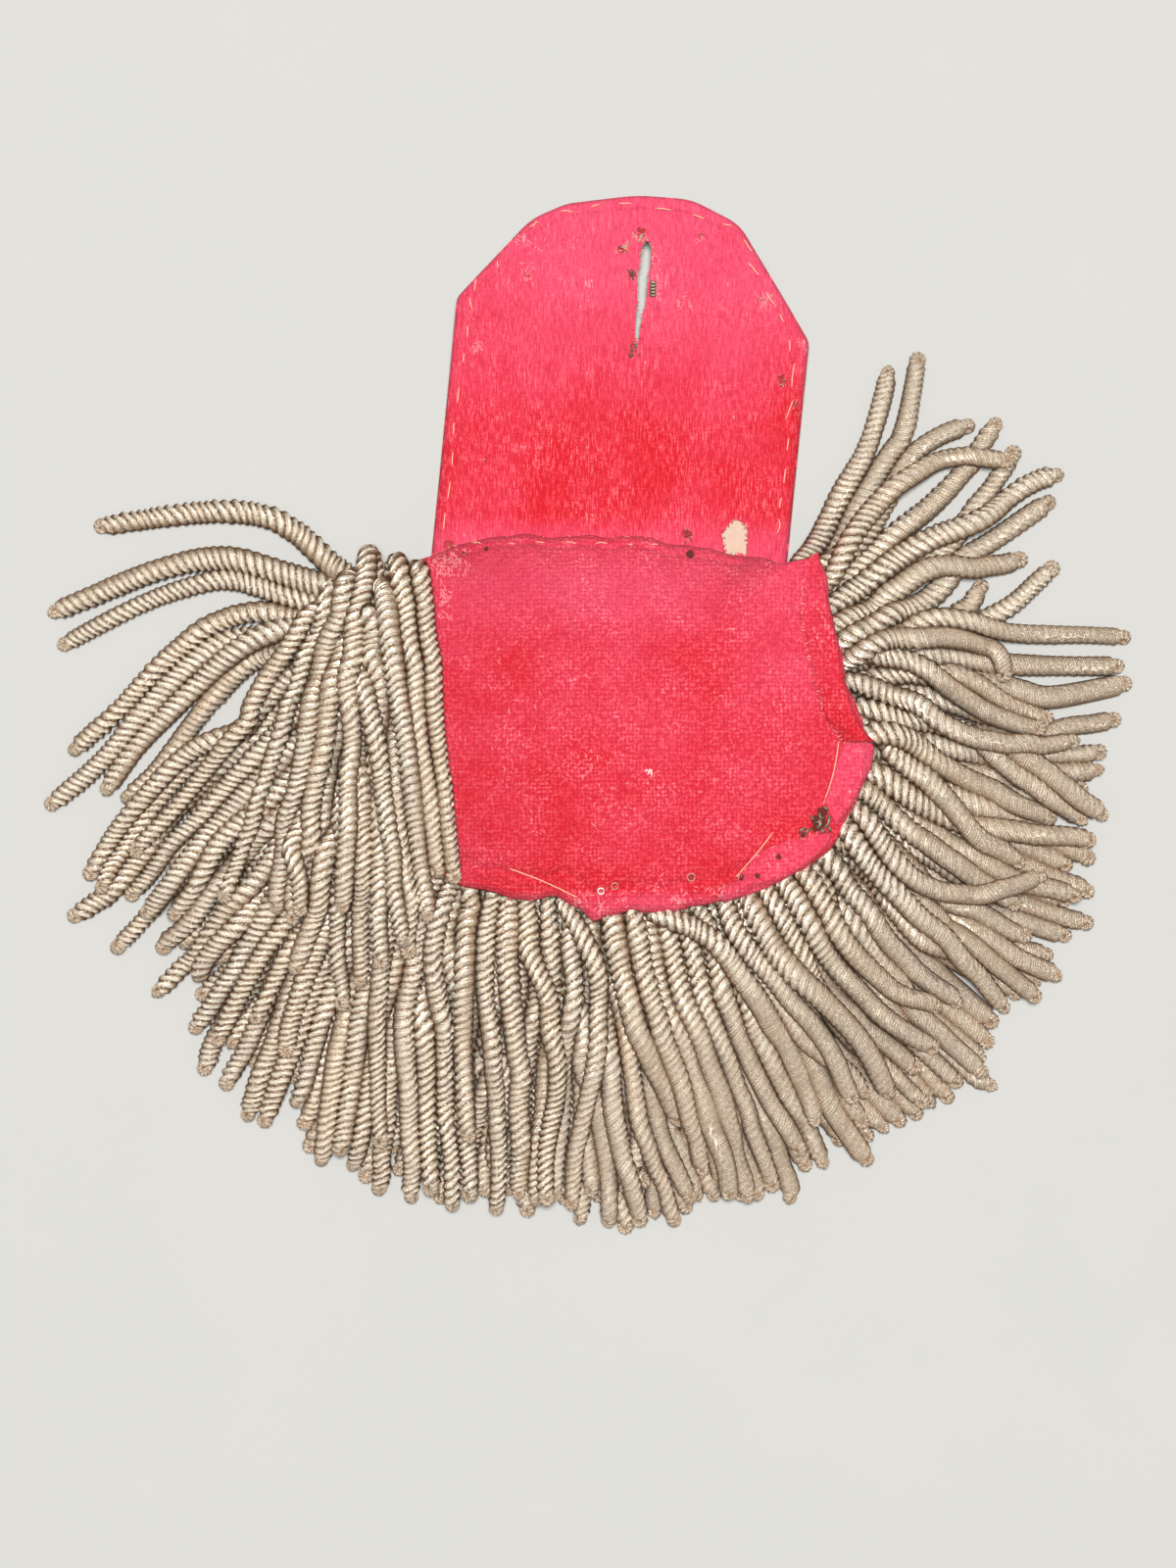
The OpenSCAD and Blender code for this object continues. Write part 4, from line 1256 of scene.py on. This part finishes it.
def threads(materials, outline):
    """Stitches, loose and frayed threads, knots and wire ends, each kind in one mesh."""
    rng = np.random.default_rng(77)
    found = fray_threads(rng, outline)
    for x, y, radius, kind in KNOTS:
        xy = place(x, y) + ray(np.linspace(0, 360, 13)) * radius * 0.7
        found[kind] += [np.column_stack([xy, surface_z(xy) + up]) for up in (0.1, 0.25)]
    wires = [bowed(px, out, 9, 0.7) for *px, out in WIRE_ENDS]
    for k in range(BARS["count"]):
        y = BARS["top"] + BARS["step"] * k
        wires.append(bowed((BARS["left"], y, BARS["right"], y + 0.5), 0.05, 7, 0.1))
    sewn = [bowed(px, rng.normal(0, 0.12), 7, 0.3) for px in STITCHES]
    loose = [bowed(px, out, 17, 0.55) for *px, out in LOOSE_THREADS]
    jobs = [("running_stitches", sewn, 0.12, "stitch"), ("loose_threads", loose, 0.12, "stitch"),
            ("wire_ends", wires, 0.30, "wire")]
    jobs += [(f"fray_{kind}", found[kind], THREAD_R[kind], kind) for kind in THREAD_R]
    for name, paths, radius, kind in jobs:
        points, faces = tubes(paths, radius, 6 if radius > 0.11 else 4)
        obj = mesh_piece(name, points, [faces], materials[kind])


def under_patches(material):
    """The second layer of cloth, seen through the small holes of the strap."""
    points = []
    for *at, r in HOLES:
        xy = np.array(at) + ray(np.arange(0, 360, 30)) * (r + 0.3)
        points.append(np.column_stack([xy, LINING_Z + 0.12 + rise(xy[:, 1])]))
    faces = np.arange(12 * len(HOLES)).reshape(-1, 12)
    obj = mesh_piece("under_layer", np.concatenate(points), [faces], material)


def head_tape(row, material):
    """The tape that heads one row of strands, under the lining's rim."""
    angles = np.arange(140, 402.1, 3)
    corners = [(7.7, 0.15), (7.7, BAND_H - 0.15), (4.2, BAND_H - 0.3), (3.4, BAND_H / 2), (4.2, 0.3)]
    sides = [np.column_stack([PAD_AT + ray(angles) * (soft_edge(angles) - inset)[:, None],
                              np.full(len(angles), BAND_Z[row] + up)]) for inset, up in corners]
    rings = np.stack(sides, 1)
    m, n = rings.shape[:2]
    caps = np.array([range(n), range(m * n - 1, (m - 1) * n - 1, -1)])
    obj = mesh_piece(f"head_tape_{row + 1}", rings.reshape(-1, 3), [cells(m, n), caps], material)


# BUILD
rng = np.random.default_rng(SEED)
plans = fan_strands(rng) + followed_strands() + swept_strands()
nodes, radii = relax(plans)
bullion = bullion_material()
for group, name, stands_for in (
        ("outer", "bullion_outer_row", "fringe_outer_row"),
        ("middle", "bullion_middle_row", "fringe_middle_row"),
        ("inner", "bullion_inner_row", "fringe_inner_row"),
        ("left", "bullion_left_strands", None),
        ("right", "bullion_right_strands", None),
        ("swept", "bullion_swept_strands", None)):
    chosen = [k for k, p in enumerate(plans) if p["group"] == group]
    obj = coiled_strands(name, nodes[chosen], radii[chosen], bullion, rng)
    if stands_for:
        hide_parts(stands_for)

card = plain_material("card_board", (0.38, 0.28, 0.21), (0.35, 0.245, 0.18), scale=0.8, roughness=0.9)
tape = plain_material("linen_tape", (0.316, 0.253, 0.177), (0.209, 0.158, 0.107), scale=2.0, roughness=0.9)
hem_cloth = cloth_material("red_cloth_hem", False, pinker=0.4)
flap_cloth = cloth_material("red_cloth_flap", False, pinker=-0.35, shade=0.1)
outline = strap_lining(cloth_material("red_cloth_ribbed", True))
padded_lining(cloth_material("red_cloth_plain_weave", False, pinker=-0.1, shade=0.12))
hem_piece("loose_hem_flap", FLAP, flap_cloth, curl=0.35, rough=0.75, seed=31)
hem_piece("turned_corner", SECOND_PIECE, hem_cloth, curl=0.15, rough=0.25, seed=32)
hem_piece("lower_hem", LOWER_HEM, hem_cloth, curl=0.3, rough=0.55, seed=33)
threads({
    "stitch": thread_material("sewing_thread", (0.60, 0.30, 0.21), (0.52, 0.20, 0.14),
                              roughness=0.7, height=0.03),
    "wire": plain_material("tarnished_wire", (0.21, 0.16, 0.11), (0.09, 0.055, 0.033), scale=1.2,
                           roughness=0.45, metallic=0.4, height=0.05),
    "red": thread_material("frayed_red_thread", (0.60, 0.045, 0.07), (0.50, 0.025, 0.04)),
    "pale": thread_material("frayed_pale_thread", (0.68, 0.20, 0.22), (0.62, 0.12, 0.14)),
    "beige": thread_material("frayed_tape_thread", (0.455, 0.303, 0.215), (0.284, 0.164, 0.107)),
    "dark": thread_material("dirty_thread", (0.139, 0.057, 0.032), (0.051, 0.019, 0.013)),
    "white": thread_material("lint", (0.6, 0.537, 0.493), (0.537, 0.442, 0.392))}, outline)
under_patches(plain_material("under_cloth", (0.30, 0.022, 0.022), (0.13, 0.010, 0.010),
                             scale=1.5, roughness=0.95))
for row in range(3):
    head_tape(row, tape)
for node, material in (("lace_face", lace_material()), ("stiffener", card)):
    for material_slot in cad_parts[node].material_slots:
        material_slot.material = material

# STAGE, LIGHT AND CAMERA
# Height of the camera, height of the photo that it sees and its middle, height of the sensor in mm
CAMERA_Z = 1.2
FRAME_H = 1600 * PHOTO_PX * MM
VIEW_AT = place(600, 800) * MM
SENSOR_H = 36
FLOOR_HALF = 4.0
ROOM_COLOUR = (1.0, 0.98, 0.95, 1)
ROOM_LIGHT = 0.21
# Lights over the object: name, place in metres, size, power
LIGHTS = (("window", (0.05, 0.4, 4.5), 0.8, 200), ("lamp", (0.0, 0.14, 2.6), 0.5, 86))


def put(name, data, at=(0, 0, 0)):
    obj = bpy.data.objects.new(name, data)
    obj.location = at
    bpy.context.scene.collection.objects.link(obj)
    return obj


def stage():
    mesh = bpy.data.meshes.new("floor")
    corners = [(x * FLOOR_HALF, y * FLOOR_HALF, 0) for x, y in ((-1, -1), (1, -1), (1, 1), (-1, 1))]
    mesh.from_pydata(corners, [], [(0, 1, 2, 3)])
    mesh.materials.append(plain_material("pale_floor", (0.306, 0.302, 0.287), (0.30, 0.297, 0.282),
                                         scale=0.02, roughness=0.95, height=0.0))
    put("floor", mesh)
    world = bpy.data.worlds.new("pale_room")
    world.use_nodes = True
    background = world.node_tree.nodes["Background"]
    background.inputs[0].default_value = ROOM_COLOUR
    background.inputs[1].default_value = ROOM_LIGHT
    bpy.context.scene.world = world
    for name, at, size, power in LIGHTS:
        light = bpy.data.lights.new(name, "AREA")
        light.size = size
        light.energy = power
        put(name, light, at).rotation_euler = (-Vector(at)).to_track_quat("-Z", "Y").to_euler()
    camera = bpy.data.cameras.new("camera")
    camera.sensor_fit = "VERTICAL"
    camera.sensor_height = SENSOR_H
    camera.lens = SENSOR_H * CAMERA_Z / FRAME_H
    bpy.context.scene.camera = put("camera", camera, (*VIEW_AT, CAMERA_Z))
    bpy.context.scene.view_settings.view_transform = "Standard"


stage()
